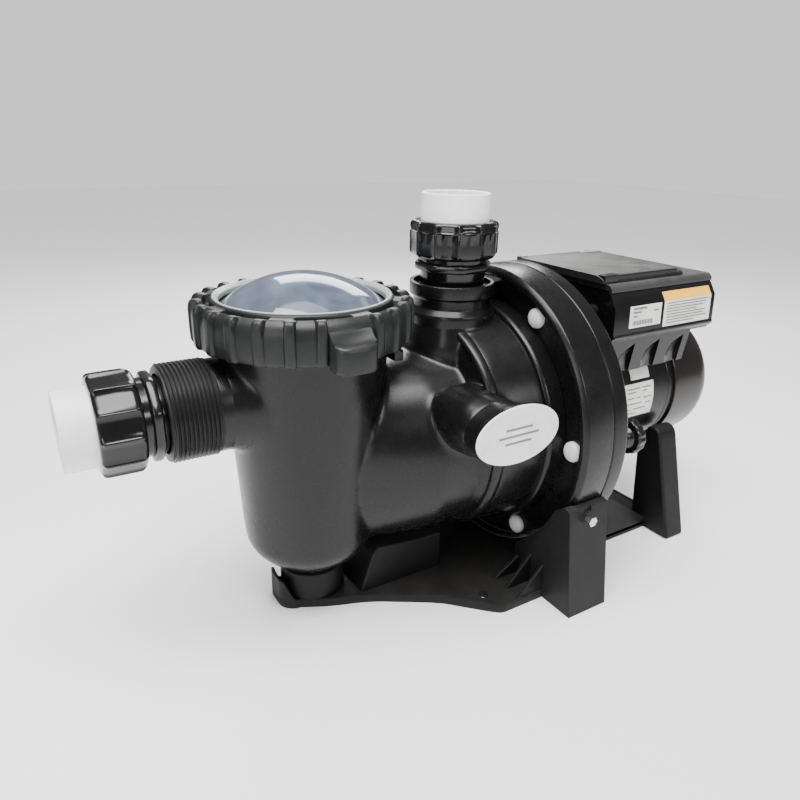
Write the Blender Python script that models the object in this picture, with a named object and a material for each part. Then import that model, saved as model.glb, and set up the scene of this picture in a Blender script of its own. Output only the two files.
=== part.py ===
"""Pool pump: a plastic wet end with a strainer pot, a variable-speed motor and its drive, on a moulded base.

Frame: X runs along the shaft (inlet towards -X, motor towards +X), Z is up, z = 0 is the floor.
Stations along the shaft run from the seam between the housing and the seal plate, positive to the motor.
"""
import bmesh
import bpy
from math import cos, pi, radians, sin, sqrt
from mathutils import Matrix, Vector

# Driving dimensions, metres
SHAFT_Z = 0.172            # shaft height above the floor
GAP = 0.0003               # clearance kept between neighbouring solids
FLANGE_R = 0.165           # housing flange and seal plate
BOLT_CIRCLE_R = 0.141
BOLT_COUNT = 6
SIDE_BOLTS = (2, 5)         # these take a wide hand knob, the rest a slim capped nut
FLANGE_FRONT = -0.038      # stations along the shaft
PLATE_T = 0.0223
SHELL_END = 0.200
MOTOR_END = 0.271
MOTOR_R = 0.0805           # 6.5 inch motor frame
BELL_R = 0.0835
POT_STATION = -0.259
POT_TOP = 0.314
POT_DRAIN_Z = 0.100
RING_BOTTOM = 0.288
RING_TOP = 0.328
RING_R = 0.1035
TAB_R = 0.118
DOME_H = 0.028
INLET_Z = 0.2344
INLET_FACE = -0.397
OUTLET_STATION = -0.090
OUTLET_FACE = 0.3264
PORT_BORE_R = 0.036
NUT_R = 0.045
TAIL_R = 0.035             # 2 inch union tail, 2.75 inch outside
SOCKET_R = 0.0302          # takes 60.3 mm pipe
SUCTION_END = -0.480
BASE_T = 0.009
DRIVE_START = 0.0585
DRIVE_END = 0.228
DRIVE_TOP = 0.322
HINGE = (0.067, 0.3262)     # flip cover hinge pin, y and z
HORN_RINGS = (             # station, half width, half height, centre height
    (POT_STATION, 0.060, 0.094, 0.154), (-0.225, 0.070, 0.097, 0.155), (-0.190, 0.084, 0.099, 0.155),
    (-0.155, 0.097, 0.101, 0.156), (-0.1115, 0.102, 0.102, 0.157), (-0.0985, 0.102, 0.102, 0.157))
KNOB_R = 0.0195
KNOB_START = 0.0450
KNOB_END = 0.0560
SEAM_X = -(SUCTION_END + MOTOR_END) / 2   # puts the origin under the middle of the whole pump

COLOURS = {
    "black plastic": ((0.012, 0.012, 0.013), 0.35, 0.0),
    "matte black": ((0.02, 0.019, 0.019), 0.6, 0.0),
    "white plastic": ((0.85, 0.85, 0.83), 0.4, 0.0),
    "clear plastic": ((0.55, 0.62, 0.66), 0.08, 0.0),
    "grey plastic": ((0.35, 0.36, 0.37), 0.45, 0.0),
    "rubber": ((0.015, 0.015, 0.015), 0.8, 0.0),
    "black paint": ((0.016, 0.014, 0.013), 0.3, 0.2),
    "steel": ((0.6, 0.6, 0.58), 0.3, 1.0),
    "lamination": ((0.3, 0.3, 0.3), 0.5, 0.9),
    "copper": ((0.7, 0.32, 0.14), 0.4, 0.9),
    "aluminium": ((0.7, 0.7, 0.7), 0.4, 1.0),
    "ceramic": ((0.8, 0.78, 0.72), 0.3, 0.0),
    "board green": ((0.03, 0.16, 0.07), 0.5, 0.0),
    "button blue": ((0.1, 0.2, 0.4), 0.5, 0.0),
}


def x_at(station):
    """World X of a station along the shaft."""
    return SEAM_X + station


def clear_scene():
    for item in list(bpy.data.objects):
        bpy.data.objects.remove(item, do_unlink=True)


def material_for(name, finish):
    colour, roughness, metallic = COLOURS[finish]
    material = bpy.data.materials.new(name)
    material.use_nodes = True
    shader = material.node_tree.nodes["Principled BSDF"]
    shader.inputs["Base Color"].default_value = (*colour, 1.0)
    shader.inputs["Roughness"].default_value = roughness
    shader.inputs["Metallic"].default_value = metallic
    return material


def object_from(bm, name="tool"):
    """Turn a bmesh into an object with its faces pointing out."""
    bmesh.ops.remove_doubles(bm, verts=bm.verts, dist=1e-6)
    bmesh.ops.recalc_face_normals(bm, faces=bm.faces)
    mesh = bpy.data.meshes.new(name)
    bm.to_mesh(mesh)
    bm.free()
    item = bpy.data.objects.new(name, mesh)
    bpy.context.scene.collection.objects.link(item)
    return item


def turned(profile, centre, axis="Z", segments=32):
    """Spin a profile of (radius, height) points; heights run along the axis from the centre point.

    A profile that starts and ends at radius 0 makes a solid; any other profile is closed into a ring.
    """
    bm = bmesh.new()
    verts = [bm.verts.new((radius, 0, height)) for radius, height in profile]
    pairs = list(zip(verts, verts[1:]))
    if profile[0][0] > 0 or profile[-1][0] > 0:
        pairs.append((verts[-1], verts[0]))
    edges = [bm.edges.new(pair) for pair in pairs]
    bmesh.ops.spin(bm, geom=verts + edges, axis=(0, 0, 1), cent=(0, 0, 0), dvec=(0, 0, 0),
                   angle=2 * pi, steps=segments, use_merge=True, use_duplicate=False)
    turn = {"Z": Matrix.Identity(4), "X": Matrix.Rotation(pi / 2, 4, "Y"),
            "-X": Matrix.Rotation(-pi / 2, 4, "Y"), "Y": Matrix.Rotation(-pi / 2, 4, "X"),
            "-Y": Matrix.Rotation(pi / 2, 4, "X")}[axis]
    bmesh.ops.transform(bm, matrix=Matrix.Translation(Vector(centre)) @ turn, verts=bm.verts)
    return object_from(bm)


def on_shaft(profile, segments=32):
    """Turned piece whose heights are stations along the shaft."""
    return turned(profile, (SEAM_X, 0, SHAFT_Z), "X", segments)


def rod(radius, start, end, centre, axis="Z", segments=20):
    """Plain cylinder from start to end along an axis through the centre point."""
    return turned([(0, start), (radius, start), (radius, end), (0, end)], centre, axis, segments)


def box(low, high):
    bm = bmesh.new()
    bmesh.ops.create_cube(bm, size=1)
    size = Vector(high) - Vector(low)
    middle = (Vector(high) + Vector(low)) / 2
    bmesh.ops.transform(bm, matrix=Matrix.Translation(middle) @ Matrix.Diagonal(size).to_4x4(),
                        verts=bm.verts)
    return object_from(bm)


def prism(outline, low, high, along="Z"):
    """Extrude an outline: (x, y) points along Z, (y, z) points along X, or (x, z) points along Y."""
    bm = bmesh.new()
    place = {"Z": lambda p, h: (p[0], p[1], h),
             "X": lambda p, h: (h, p[0], p[1]),
             "Y": lambda p, h: (p[0], h, p[1])}
    verts = [bm.verts.new(place[along](point, low)) for point in outline]
    face = bm.faces.new(verts)
    grown = bmesh.ops.extrude_face_region(bm, geom=[face])
    moved = [part for part in grown["geom"] if isinstance(part, bmesh.types.BMVert)]
    shift = Vector(place[along]((0, 0), high - low))
    bmesh.ops.translate(bm, vec=shift, verts=moved)
    return object_from(bm)


def loft(rings):
    """Skin between rings of equal point counts and close both ends."""
    bm = bmesh.new()
    rows = [[bm.verts.new(point) for point in ring] for ring in rings]
    count = len(rings[0])
    for row, after in zip(rows, rows[1:]):
        for index in range(count):
            step = (index + 1) % count
            bm.faces.new((row[index], row[step], after[step], after[index]))
    bm.faces.new(rows[0])
    bm.faces.new(rows[-1])
    return object_from(bm)


def is_closed(bm):
    return all(len(edge.link_faces) == 2 for edge in bm.edges)


def combine(base, tools, operation):
    """Apply booleans one by one and drop the tools; MANIFOLD steps in where EXACT leaves an open edge."""
    for tool in tools:
        for solver in ("EXACT", "MANIFOLD"):
            modifier = base.modifiers.new("cut", "BOOLEAN")
            modifier.operation = operation
            modifier.object = tool
            modifier.solver = solver
            graph = bpy.context.evaluated_depsgraph_get()
            mesh = bpy.data.meshes.new_from_object(base.evaluated_get(graph))
            base.modifiers.clear()
            bm = bmesh.new()
            bm.from_mesh(mesh)
            closed = is_closed(bm)
            bm.free()
            if closed:
                break
        base.data = mesh
        bpy.data.objects.remove(tool, do_unlink=True)
    bm = bmesh.new()
    bm.from_mesh(base.data)
    bmesh.ops.remove_doubles(bm, verts=bm.verts, dist=1e-6)
    bmesh.ops.dissolve_degenerate(bm, edges=bm.edges, dist=1e-6)
    if is_closed(bm):
        bm.to_mesh(base.data)
    bm.free()
    return base


def joined(base, *tools):
    return combine(base, tools, "UNION")


def cut(base, *tools):
    return combine(base, tools, "DIFFERENCE")


def finish(item, name, finish_name, origin=None):
    """Name the piece, give it a finish, shade it and put its origin where it turns or slides."""
    item.name = name
    item.data.name = name
    item.data.materials.clear()
    item.data.materials.append(material_for(name, finish_name))
    if origin is not None:
        item.data.transform(Matrix.Translation(-Vector(origin)))
        item.location = origin
    item.data.shade_smooth()
    item.data.set_sharp_from_angle(angle=radians(35))
    return item


def circle_arc(radius, start_deg, end_deg, steps, centre=(0, SHAFT_Z)):
    """Points on an arc about the shaft in (y, z); 0 degrees is +Y and 90 is up."""
    points = []
    for index in range(steps + 1):
        angle = radians(start_deg + (end_deg - start_deg) * index / steps)
        points.append((centre[0] + radius * cos(angle), centre[1] + radius * sin(angle)))
    return points


def bolt_places():
    """(y, z) of each flange bolt, the first one 30 degrees off the top."""
    for index in range(BOLT_COUNT):
        angle = radians(30 + 360 / BOLT_COUNT * index)
        yield -BOLT_CIRCLE_R * sin(angle), SHAFT_Z + BOLT_CIRCLE_R * cos(angle)


# Wet end ---------------------------------------------------------------------------------------------

def badge_ring(y, half_x, half_z, station, z, steps=24):
    ring = []
    for index in range(steps):
        angle = 2 * pi * index / steps
        ring.append((x_at(station) + half_x * cos(angle), y, z + half_z * sin(angle)))
    return ring


def horn_solid(offset, steps):
    """Intake horn from the pot to the volute: upright ovals at the pot widen to a circle at the volute."""
    rings = []
    for station, half_y, half_z, z in HORN_RINGS:
        ring = []
        for index in range(steps):
            angle = 2 * pi * index / steps
            ring.append((x_at(station), (half_y + offset) * cos(angle), z + (half_z + offset) * sin(angle)))
        rings.append(ring)
    return loft(rings)


def housing():
    """One moulding: strainer pot, suction neck, intake horn, volute, outlet and bolting flange."""
    pot = (x_at(POT_STATION), 0, 0)
    outlet = (x_at(OUTLET_STATION), 0, 0)
    volute = on_shaft([(0, -0.112), (0.100, -0.112), (0.112, -0.109), (0.118, -0.102), (0.1255, -0.031),
                       (0.1535, -0.031), (0.1545, FLANGE_FRONT), (0.161, FLANGE_FRONT), (0.165, -0.034),
                       (0.165, -GAP), (0, -GAP)], 36)
    horn = horn_solid(0, 24)
    pot_shell = turned([(0, 0.0395), (0.028, 0.0395), (0.042, 0.0495), (0.054, 0.059), (0.062, 0.068),
                        (0.0667, 0.078), (0.0685, 0.099), (0.0726, 0.175), (0.0765, 0.240), (0.080, 0.288),
                        (0.0905, 0.292), (0.0905, POT_TOP), (0, POT_TOP)], pot, "Z", 28)
    neck = turned([(0, -0.14), (0.043, -0.14), (0.043, -0.044), (0.0445, -0.043), (0.0445, 0), (0, 0)],
                  (x_at(INLET_FACE), 0, INLET_Z), "-X", 24)
    outlet_neck = turned([(0, 0.25), (0.046, 0.25), (0.046, 0.294), (0.0406, 0.302), (0.0406, 0.311),
                          (0.0447, 0.3135), (0.0447, OUTLET_FACE), (0, OUTLET_FACE)], outlet, "Z", 24)
    rib = box((x_at(-0.062), -0.004, 0.285), (x_at(-0.034), 0.004, 0.320))
    boss = loft([badge_ring(-0.075, 0.033, 0.031, -0.128, 0.210),
                 badge_ring(-0.112, 0.034, 0.032, -0.128, 0.210),
                 badge_ring(-0.134, 0.041, 0.0285, -0.119, 0.210),
                 badge_ring(-0.142, 0.049, 0.0298, -0.112, 0.210),
                 badge_ring(-0.1445, 0.0500, 0.0300, -0.111, 0.210)])
    pot_drain = rod(0.013, 0.045, 0.074, (x_at(POT_STATION), 0, POT_DRAIN_Z), "Y", 12)
    volute_drain = rod(0.013, 0.050, 0.092, (x_at(-0.070), 0, 0.078), "Y", 12)
    body = joined(volute, horn, pot_shell, neck, outlet_neck, rib, boss, pot_drain, volute_drain)

    pot_cavity = turned([(0, 0.047), (0.022, 0.047), (0.037, 0.0555), (0.049, 0.065), (0.057, 0.0735),
                         (0.0617, 0.083), (0.0635, 0.099), (0.0676, 0.175), (0.0715, 0.240), (0.0735, 0.300),
                         (0.0785, 0.300), (0.0785, 0.33), (0, 0.33)], pot, "Z", 28)
    groove = turned([(0.0815, POT_TOP - 0.004), (0.0865, POT_TOP - 0.004), (0.0865, 0.33), (0.0815, 0.33)],
                    pot, "Z", 28)
    inlet_bore = rod(PORT_BORE_R, -0.005, 0.145, (x_at(INLET_FACE), 0, INLET_Z), "X", 20)
    horn_bore = horn_solid(-0.006, 20)
    chamber = on_shaft([(0, -0.104), (0.098, -0.104), (0.108, -0.098), (0.1185, -0.031), (0.1185, 0.01),
                        (0, 0.01)], 28)
    outlet_bore = rod(0.034, 0.20, 0.34, outlet, "Z", 20)
    seal_groove = on_shaft([(0.1240, -0.0042), (0.1290, -0.0042), (0.1290, 0.01), (0.1240, 0.01)], 28)
    holes = [rod(0.0045, -0.05, 0.01, (SEAM_X, y, z), "X", 8) for y, z in bolt_places()]
    pot_drain_hole = rod(0.0085, 0.040, 0.080, (x_at(POT_STATION), 0, POT_DRAIN_Z), "Y", 10)
    volute_drain_hole = rod(0.0085, 0.040, 0.10, (x_at(-0.070), 0, 0.078), "Y", 10)
    cut(body, pot_cavity, groove, inlet_bore, horn_bore, chamber, outlet_bore, seal_groove,
        pot_drain_hole, volute_drain_hole, *holes)
    finish(body, "housing", "black plastic")


def badge():
    """Blank oval plate on the end of the boss."""
    plate = loft([badge_ring(-0.1448, 0.0495, 0.0295, -0.111, 0.210, 28),
                  badge_ring(-0.1462, 0.0495, 0.0295, -0.111, 0.210, 28),
                  badge_ring(-0.1468, 0.0485, 0.0285, -0.111, 0.210, 28)])
    finish(plate, "badge", "white plastic")


def lid():
    """Clear dome, its ring seal and the screw-down lock ring."""
    pot = (x_at(POT_STATION), 0, 0)
    cap_r = 0.076
    sphere = (cap_r ** 2 + DOME_H ** 2) / (2 * DOME_H)
    wall = 0.004
    base = 0.320
    outer = []
    inner = []
    for index in range(6):
        radius = cap_r * index / 5
        rise = sqrt(sphere ** 2 - radius ** 2) - (sphere - DOME_H)
        outer.append((radius, base + rise))
        radius = (cap_r - wall) * index / 5
        rise = sqrt((sphere - wall) ** 2 - radius ** 2) - (sphere - DOME_H)
        inner.append((radius, base + rise))
    rim = [(0.0765, 0.3181), (0.0875, 0.3181), (0.0875, 0.3145), (0.0725, 0.3145)]
    dome = turned(outer + rim + inner[::-1], pot, "Z", 28)
    finish(dome, "lid_dome", "clear plastic", (pot[0], 0, base))

    seal = ring_seal(0.084, 0.0018, POT_TOP - 0.0017, pot, "Z", 28)
    finish(seal, "lid_oring", "rubber")

    ring = turned([(0.0912, RING_BOTTOM), (0.0985, RING_BOTTOM), (0.1025, 0.2925), (RING_R, 0.300),
                   (RING_R, 0.318), (0.1005, 0.3255), (0.096, RING_TOP), (0.0805, RING_TOP), (0.079, 0.3268),
                   (0.079, 0.3184), (0.0912, 0.3184)], pot, "Z", 36)
    tabs = []
    for side in (-1, 1):
        outline = [(side * 0.099, 0.284), (side * 0.112, 0.284), (side * TAB_R, 0.290),
                   (side * TAB_R, 0.311),
                   (side * 0.113, 0.317), (side * 0.099, 0.322)]
        tabs.append(prism(outline, pot[0] - 0.021, pot[0] + 0.017, "X"))
    ring = joined(ring, *tabs)
    finish(ring, "lock_ring", "matte black", (pot[0], 0, RING_TOP))


def ring_seal(radius, thickness, height, centre, axis, segments=24):
    """Round-section seal about an axis, its middle plane at the height given."""
    sides = 6
    profile = []
    for index in range(sides):
        angle = 2 * pi * index / sides
        profile.append((radius + thickness * cos(angle), height + thickness * sin(angle)))
    return turned(profile, centre, axis, segments)


def strainer_basket():
    """Slotted cup hanging in the pot from its rim, with an arched handle."""
    pot = (x_at(POT_STATION), 0, 0)
    cup = turned([(0, 0.072), (0.046, 0.072), (0.049, 0.075), (0.0690, 0.2985), (0.0705, 0.3003),
                  (0.0775, 0.3003),
                  (0.0775, 0.3033), (0.0665, 0.3033), (0.0464, 0.075), (0, 0.075)], pot, "Z", 24)
    slots = []
    for index in range(6):
        slot = box((-0.09, -0.004, 0.090), (0.09, 0.004, 0.200))
        turn = Matrix.Rotation(pi * (index + 0.5) / 6, 4, "Z")
        slot.data.transform(Matrix.Translation(Vector(pot)) @ turn)
        slots.append(slot)
    mouth = rod(0.034, 0.03, 0.09, (pot[0], 0, INLET_Z), "-X", 20)
    cut(cup, *slots, mouth)
    steps = 8
    rise = 0.033
    reach = 0.0672
    rings = []
    for index in range(steps + 1):
        angle = pi * index / steps
        middle = Vector((pot[0], -reach * cos(angle), 0.302 + rise * sin(angle)))
        along = Vector((0, reach * sin(angle), rise * cos(angle))).normalized()
        side = Vector((1, 0, 0))
        up = side.cross(along)
        rings.append([middle + 0.005 * x * side + 0.002 * z * up
                      for x, z in ((1, 1), (-1, 1), (-1, -1), (1, -1))])
    joined(cup, loft(rings))
    finish(cup, "strainer_basket", "grey plastic", (pot[0], 0, 0.3033))


def drain_plug(name, station, face_y, z):
    """Winged plug screwed into a drain boss."""
    plug = turned([(0, -0.014), (0.0070, -0.014), (0.0080, -0.012), (0.0080, GAP), (0.012, GAP),
                   (0.012, 0.0060),
                   (0, 0.0060)], (x_at(station), face_y, z), "Y", 16)
    wing = box((x_at(station) - 0.0105, face_y + 0.004, z - 0.0025),
               (x_at(station) + 0.0105, face_y + 0.014, z + 0.0025))
    joined(plug, wing)
    finish(plug, name, "black plastic", (x_at(station), face_y, z))


def hydraulics():
    """Diffuser, impeller and its screw, shaft seal and housing seal."""
    diffuser = on_shaft([(0.0300, -0.076), (0.0335, -0.076), (0.0335, -0.050), (0.092, -0.046),
                         (0.100, -0.040),
                         (0.100, -0.0006), (0.0965, -0.0006), (0.0965, -0.039), (0.089, -0.0425),
                         (0.0300, -0.0455)], 24)
    windows = []
    for index in range(6):
        window = box((x_at(-0.030), -0.011, -0.11), (x_at(-0.010), 0.011, -0.09))
        turn = Matrix.Translation((0, 0, SHAFT_Z)) @ Matrix.Rotation(2 * pi * index / 6, 4, "X")
        window.data.transform(turn)
        windows.append(window)
    cut(diffuser, *windows)
    finish(diffuser, "diffuser", "black plastic")

    impeller = on_shaft([(0.0065, -0.0400), (0.0110, -0.0400), (0.0150, -0.0150), (0.062, -0.0150),
                         (0.062, -0.0120),
                         (0.0065, -0.0120)], 24)
    shroud = on_shaft([(0.0240, -0.052), (0.0275, -0.052), (0.0275, -0.0400), (0.062, -0.0330),
                       (0.062, -0.0300),
                       (0.0240, -0.0370)], 24)
    blades = []
    for index in range(5):
        inner = []
        outer = []
        for step in range(5):
            share = step / 4
            radius = 0.0130 + share * 0.0480
            angle = 2 * pi * index / 5 + share * 1.15
            for line, offset in ((inner, -0.0011), (outer, 0.0011)):
                swing = angle + offset / radius
                line.append((radius * cos(swing), SHAFT_Z + radius * sin(swing)))
        blades.append(prism(inner + outer[::-1], x_at(-0.0315), x_at(-0.0140), "X"))
    joined(impeller, *blades)
    joined(impeller, shroud)
    finish(impeller, "impeller", "black plastic", (SEAM_X, 0, SHAFT_Z))

    screw = on_shaft([(0, -0.0510), (0.004, -0.0500), (0.0085, -0.0440), (0.0085, -0.0403),
                      (0.0030, -0.0403),
                      (0.0030, -0.0290), (0, -0.0290)], 12)
    finish(screw, "impeller_screw", "steel", (SEAM_X, 0, SHAFT_Z))

    head = on_shaft([(0.0086, -0.0117), (0.0150, -0.0117), (0.0150, -0.0080), (0.0125, -0.0060),
                     (0.0125, -0.0030),
                     (0.0086, -0.0030)], 20)
    finish(head, "seal_head", "rubber", (SEAM_X, 0, SHAFT_Z))
    seat = on_shaft([(0.0095, -0.0020), (0.0130, -0.0020), (0.0175, 0.0010), (0.0175, 0.0065),
                     (0.0095, 0.0065)], 20)
    finish(seat, "seal_seat", "ceramic")
    seal = ring_seal(0.1265, 0.0018, -0.0022, (SEAM_X, 0, SHAFT_Z), "X", 28)
    finish(seal, "housing_oring", "rubber")


def seal_plate():
    plate = on_shaft([(0.0115, 0.0070), (0.0178, 0.0070), (0.0178, 0.0), (FLANGE_R, 0.0), (FLANGE_R, 0.0190),
                      (0.1620, PLATE_T), (0.0115, PLATE_T)], 36)
    holes = [rod(0.0045, -0.01, 0.04, (SEAM_X, y, z), "X", 8) for y, z in bolt_places()]
    cut(plate, *holes)
    finish(plate, "seal_plate", "black plastic")


def flange_bolts():
    """Bolt through the flange and seal plate with a domed cap on its head, and its knob or capped nut."""
    for number, (y, z) in enumerate(bolt_places(), start=1):
        bolt = turned([(0, -0.0385), (0.0080, -0.0370), (0.0108, -0.0330), (0.0108, -0.0313),
                       (0.0040, -0.0313),
                       (0.0040, 0.0470), (0, 0.0470)], (SEAM_X, y, z), "X", 8)
        finish(bolt, f"flange_bolt_{number}", "white plastic")
        bore = [(0, 0.0500), (0.0045, 0.0500), (0.0045, PLATE_T + GAP)]
        if number in SIDE_BOLTS:
            grip = [(0.0090, PLATE_T + GAP), (0.0110, KNOB_START), (KNOB_R, KNOB_START + 0.001),
                    (KNOB_R, KNOB_END - 0.001), (0.0175, KNOB_END), (0, KNOB_END)]
        else:
            grip = [(0.0095, PLATE_T + GAP), (0.0095, 0.0330), (0.0065, 0.0340), (0.0065, 0.0500),
                    (0.0050, 0.0520), (0, 0.0530)]
        knob = turned(bore + grip, (SEAM_X, y, z), "X", 16)
        finish(knob, f"flange_knob_{number}", "black plastic", (x_at(KNOB_START), y, z))


# Motor -----------------------------------------------------------------------------------------------

def motor():
    bracket = on_shaft([(0.0120, 0.0430), (0.0690, 0.0430), (0.0690, 0.0226), (0.0740, 0.0226),
                        (MOTOR_R, 0.0300),
                        (MOTOR_R, 0.0597), (0.0202, 0.0597), (0.0202, 0.0470), (0.0120, 0.0470)], 32)
    finish(bracket, "motor_bracket", "aluminium")
    shell = on_shaft([(0.0772, 0.0600), (MOTOR_R, 0.0600), (MOTOR_R, 0.1997), (0.0772, 0.1997)], 32)
    finish(shell, "motor_shell", "black paint")
    core = on_shaft([(0.0424, 0.0850), (0.0762, 0.0850), (0.0762, 0.1650), (0.0424, 0.1650)], 24)
    finish(core, "stator_core", "lamination")
    for name, start, end in (("winding_front", 0.0640, 0.0847), ("winding_rear", 0.1653, 0.1860)):
        coil = on_shaft([(0.0460, start), (0.0680, start), (0.0720, start + 0.005), (0.0720, end - 0.005),
                         (0.0680, end), (0.0460, end)], 20)
        finish(coil, name, "copper")
    rotor = on_shaft([(0.0108, 0.0850), (0.0415, 0.0850), (0.0415, 0.1650), (0.0108, 0.1650)], 24)
    finish(rotor, "rotor_core", "lamination", (SEAM_X, 0, SHAFT_Z))
    shaft = on_shaft([(0, -0.0280), (0.0034, -0.0280), (0.0034, -0.0400), (0.0060, -0.0400),
                      (0.0060, -0.0117),
                      (0.0082, -0.0110), (0.0082, 0.0600), (0.0105, 0.0605), (0.0105, 0.1990),
                      (0.0082, 0.1995),
                      (0.0082, 0.2400), (0, 0.2400)], 16)
    finish(shaft, "shaft", "steel", (SEAM_X, 0, SHAFT_Z))
    for name, start in (("front_bearing", 0.0474), ("rear_bearing", 0.2002)):
        bearing = on_shaft([(0.0085, start), (0.0199, start), (0.0199, start + 0.0118),
                            (0.0085, start + 0.0118)], 20)
        finish(bearing, name, "steel")

    fan = on_shaft([(0.0085, 0.2180), (0.0600, 0.2180), (0.0600, 0.2200), (0.0160, 0.2200), (0.0160, 0.2380),
                    (0.0085, 0.2380)], 24)
    blades = []
    for index in range(6):
        blade = box((x_at(0.2190), -0.0010, 0.0150), (x_at(0.2370), 0.0010, 0.0590))
        turn = Matrix.Rotation(2 * pi * index / 6, 4, "X")
        blade.data.transform(Matrix.Translation((0, 0, SHAFT_Z)) @ turn)
        blades.append(blade)
    joined(fan, *blades)
    finish(fan, "cooling_fan", "grey plastic", (SEAM_X, 0, SHAFT_Z))

    bell = on_shaft([(0.0202, SHELL_END), (BELL_R, SHELL_END), (BELL_R, 0.2530), (0.0800, 0.2640),
                     (0.0680, MOTOR_END),
                     (0.0120, MOTOR_END), (0.0120, 0.2680), (0.0660, 0.2680), (0.0770, 0.2620),
                     (0.0800, 0.2520),
                     (0.0800, 0.2125), (0.0202, 0.2125)], 32)
    vents = []
    for index in range(6):
        vent = box((x_at(0.2630), -0.0045, 0.0240), (x_at(0.2790), 0.0045, 0.0600))
        turn = Matrix.Rotation(2 * pi * (index + 0.5) / 6, 4, "X")
        vent.data.transform(Matrix.Translation((0, 0, SHAFT_Z)) @ turn)
        vents.append(vent)
    cut(bell, *vents)
    heads = []
    for turn in (40, 140, 220, 320):
        out = Vector((0, cos(radians(turn)), sin(radians(turn))))
        head = rod(0.0042, -0.003, 0.0035, (0, 0, 0), "Z", 6)
        place = Matrix.Translation(Vector((x_at(0.2065), 0, SHAFT_Z)) + out * BELL_R)
        head.data.transform(place @ out.to_track_quat("Z", "Y").to_matrix().to_4x4())
        heads.append(head)
    joined(bell, *heads)
    finish(bell, "end_bell", "black paint")

    outline = circle_arc(MOTOR_R + GAP, 162, 192, 8) + circle_arc(MOTOR_R + GAP + 0.0006, 192, 162, 8)
    plate = prism(outline, x_at(0.1120), x_at(0.1620), "X")
    finish(plate, "motor_nameplate", "aluminium")


# Drive -----------------------------------------------------------------------------------------------

def drive():
    """Electronics box saddled on the motor, its fixed top, keypad and flip-up cover."""
    gap_r = MOTOR_R + 0.0008
    side = [(-0.085, 0.3135), (-0.095, 0.2680), (-0.095, 0.2640), (-0.0905, 0.2600), (-0.0850, 0.2200)]
    low_deg = 180 - 35.5
    saddle = circle_arc(gap_r, low_deg, 180 - low_deg, 16)
    outline = side + saddle + [(-y, z) for y, z in side[::-1]]
    body = prism(outline, x_at(DRIVE_START), x_at(DRIVE_END), "X")
    cavity = box((x_at(DRIVE_START + 0.005), -0.080, 0.2620), (x_at(DRIVE_END - 0.005), 0.080, 0.33))
    rear_step = box((x_at(0.1975), -0.12, 0.20), (x_at(0.24), 0.12, 0.2585))
    cut(body, cavity, rear_step)
    scallops = []
    for mirror in (-1, 1):
        for start in (0.070, 0.112, 0.154):
            pocket = prism([(x_at(start), 0.2150), (x_at(start + 0.034), 0.2150),
                            (x_at(start + 0.030), 0.2480),
                            (x_at(start + 0.017), 0.2540)], mirror * 0.0820, mirror * 0.10, "Y")
            scallops.append(pocket)
    cut(body, *scallops)
    posts = [rod(0.004, 0.2600, 0.2847, (x_at(station), y, 0), "Z", 12)
             for station in (0.075, 0.205) for y in (-0.060, 0.060)]
    joined(body, *posts)
    finish(body, "drive_housing", "black plastic")

    board = box((x_at(0.067), -0.072, 0.2850), (x_at(0.215), 0.072, 0.2868))
    finish(board, "drive_board", "board green")

    top = prism([(-0.0850, 0.3138), (-0.0850, 0.3180), (-0.0800, DRIVE_TOP), (0.0800, DRIVE_TOP),
                 (0.0850, 0.3180),
                 (0.0850, 0.3138)], x_at(DRIVE_START), x_at(DRIVE_END), "X")
    recess = box((x_at(0.070), -0.055, 0.3192), (x_at(0.172), 0.045, 0.33))
    holes = [rod(0.0085, 0.30, 0.33, (x, y, 0), "Z", 12) for x, y in button_places()]
    cut(top, recess, *holes)
    ears = []
    for station in (0.0600, 0.1760):
        ear = box((x_at(station), 0.0610, 0.3200), (x_at(station + 0.006), 0.0730, 0.3300))
        ears.append(ear)
    joined(top, *ears)
    pin_hole = rod(0.0021, DRIVE_START, 0.19, (SEAM_X, *HINGE), "X", 12)
    cut(top, pin_hole)
    finish(top, "drive_top", "black plastic")

    pin = rod(0.0018, 0.0605, 0.1815, (SEAM_X, *HINGE), "X", 12)
    finish(pin, "cover_hinge_pin", "steel")

    barrel = circle_arc(0.0036, 80, -90, 6, HINGE)
    cover = prism([(-0.0760, 0.3224), (-0.0740, 0.3265), (-0.0650, 0.3300), (0.0600, 0.3305)] + barrel,
                  x_at(0.0670), x_at(0.1750), "X")
    wings = [prism([(-0.0760, 0.3224), (-0.0740, 0.3265), (-0.0650, 0.3300), (0.0570, 0.3305),
                    (0.0590, 0.3224)],
                   x_at(low), x_at(high), "X") for low, high in ((0.0540, 0.0680), (0.1740, 0.1850))]
    joined(cover, *wings)
    well = box((x_at(0.068), -0.060, 0.31), (x_at(0.171), 0.050, 0.3275))
    barrel_hole = rod(0.0021, 0.05, 0.19, (SEAM_X, *HINGE), "X", 12)
    cut(cover, well, barrel_hole)
    finish(cover, "flip_cover", "black plastic", (x_at(0.119), *HINGE))

    for number, (x, y) in enumerate(button_places(), start=1):
        button = turned([(0, 0.3165), (0.0080, 0.3165), (0.0080, 0.3212), (0.0070, 0.3222), (0, 0.3222)],
                        (x, y, 0), "Z", 12)
        finish(button, f"speed_button_{number}", "button blue", (x, y, 0.3222))


def button_places():
    for row in (-0.030, 0.010):
        for station in (0.095, 0.145):
            yield x_at(station), row


# Unions ----------------------------------------------------------------------------------------------

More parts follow.
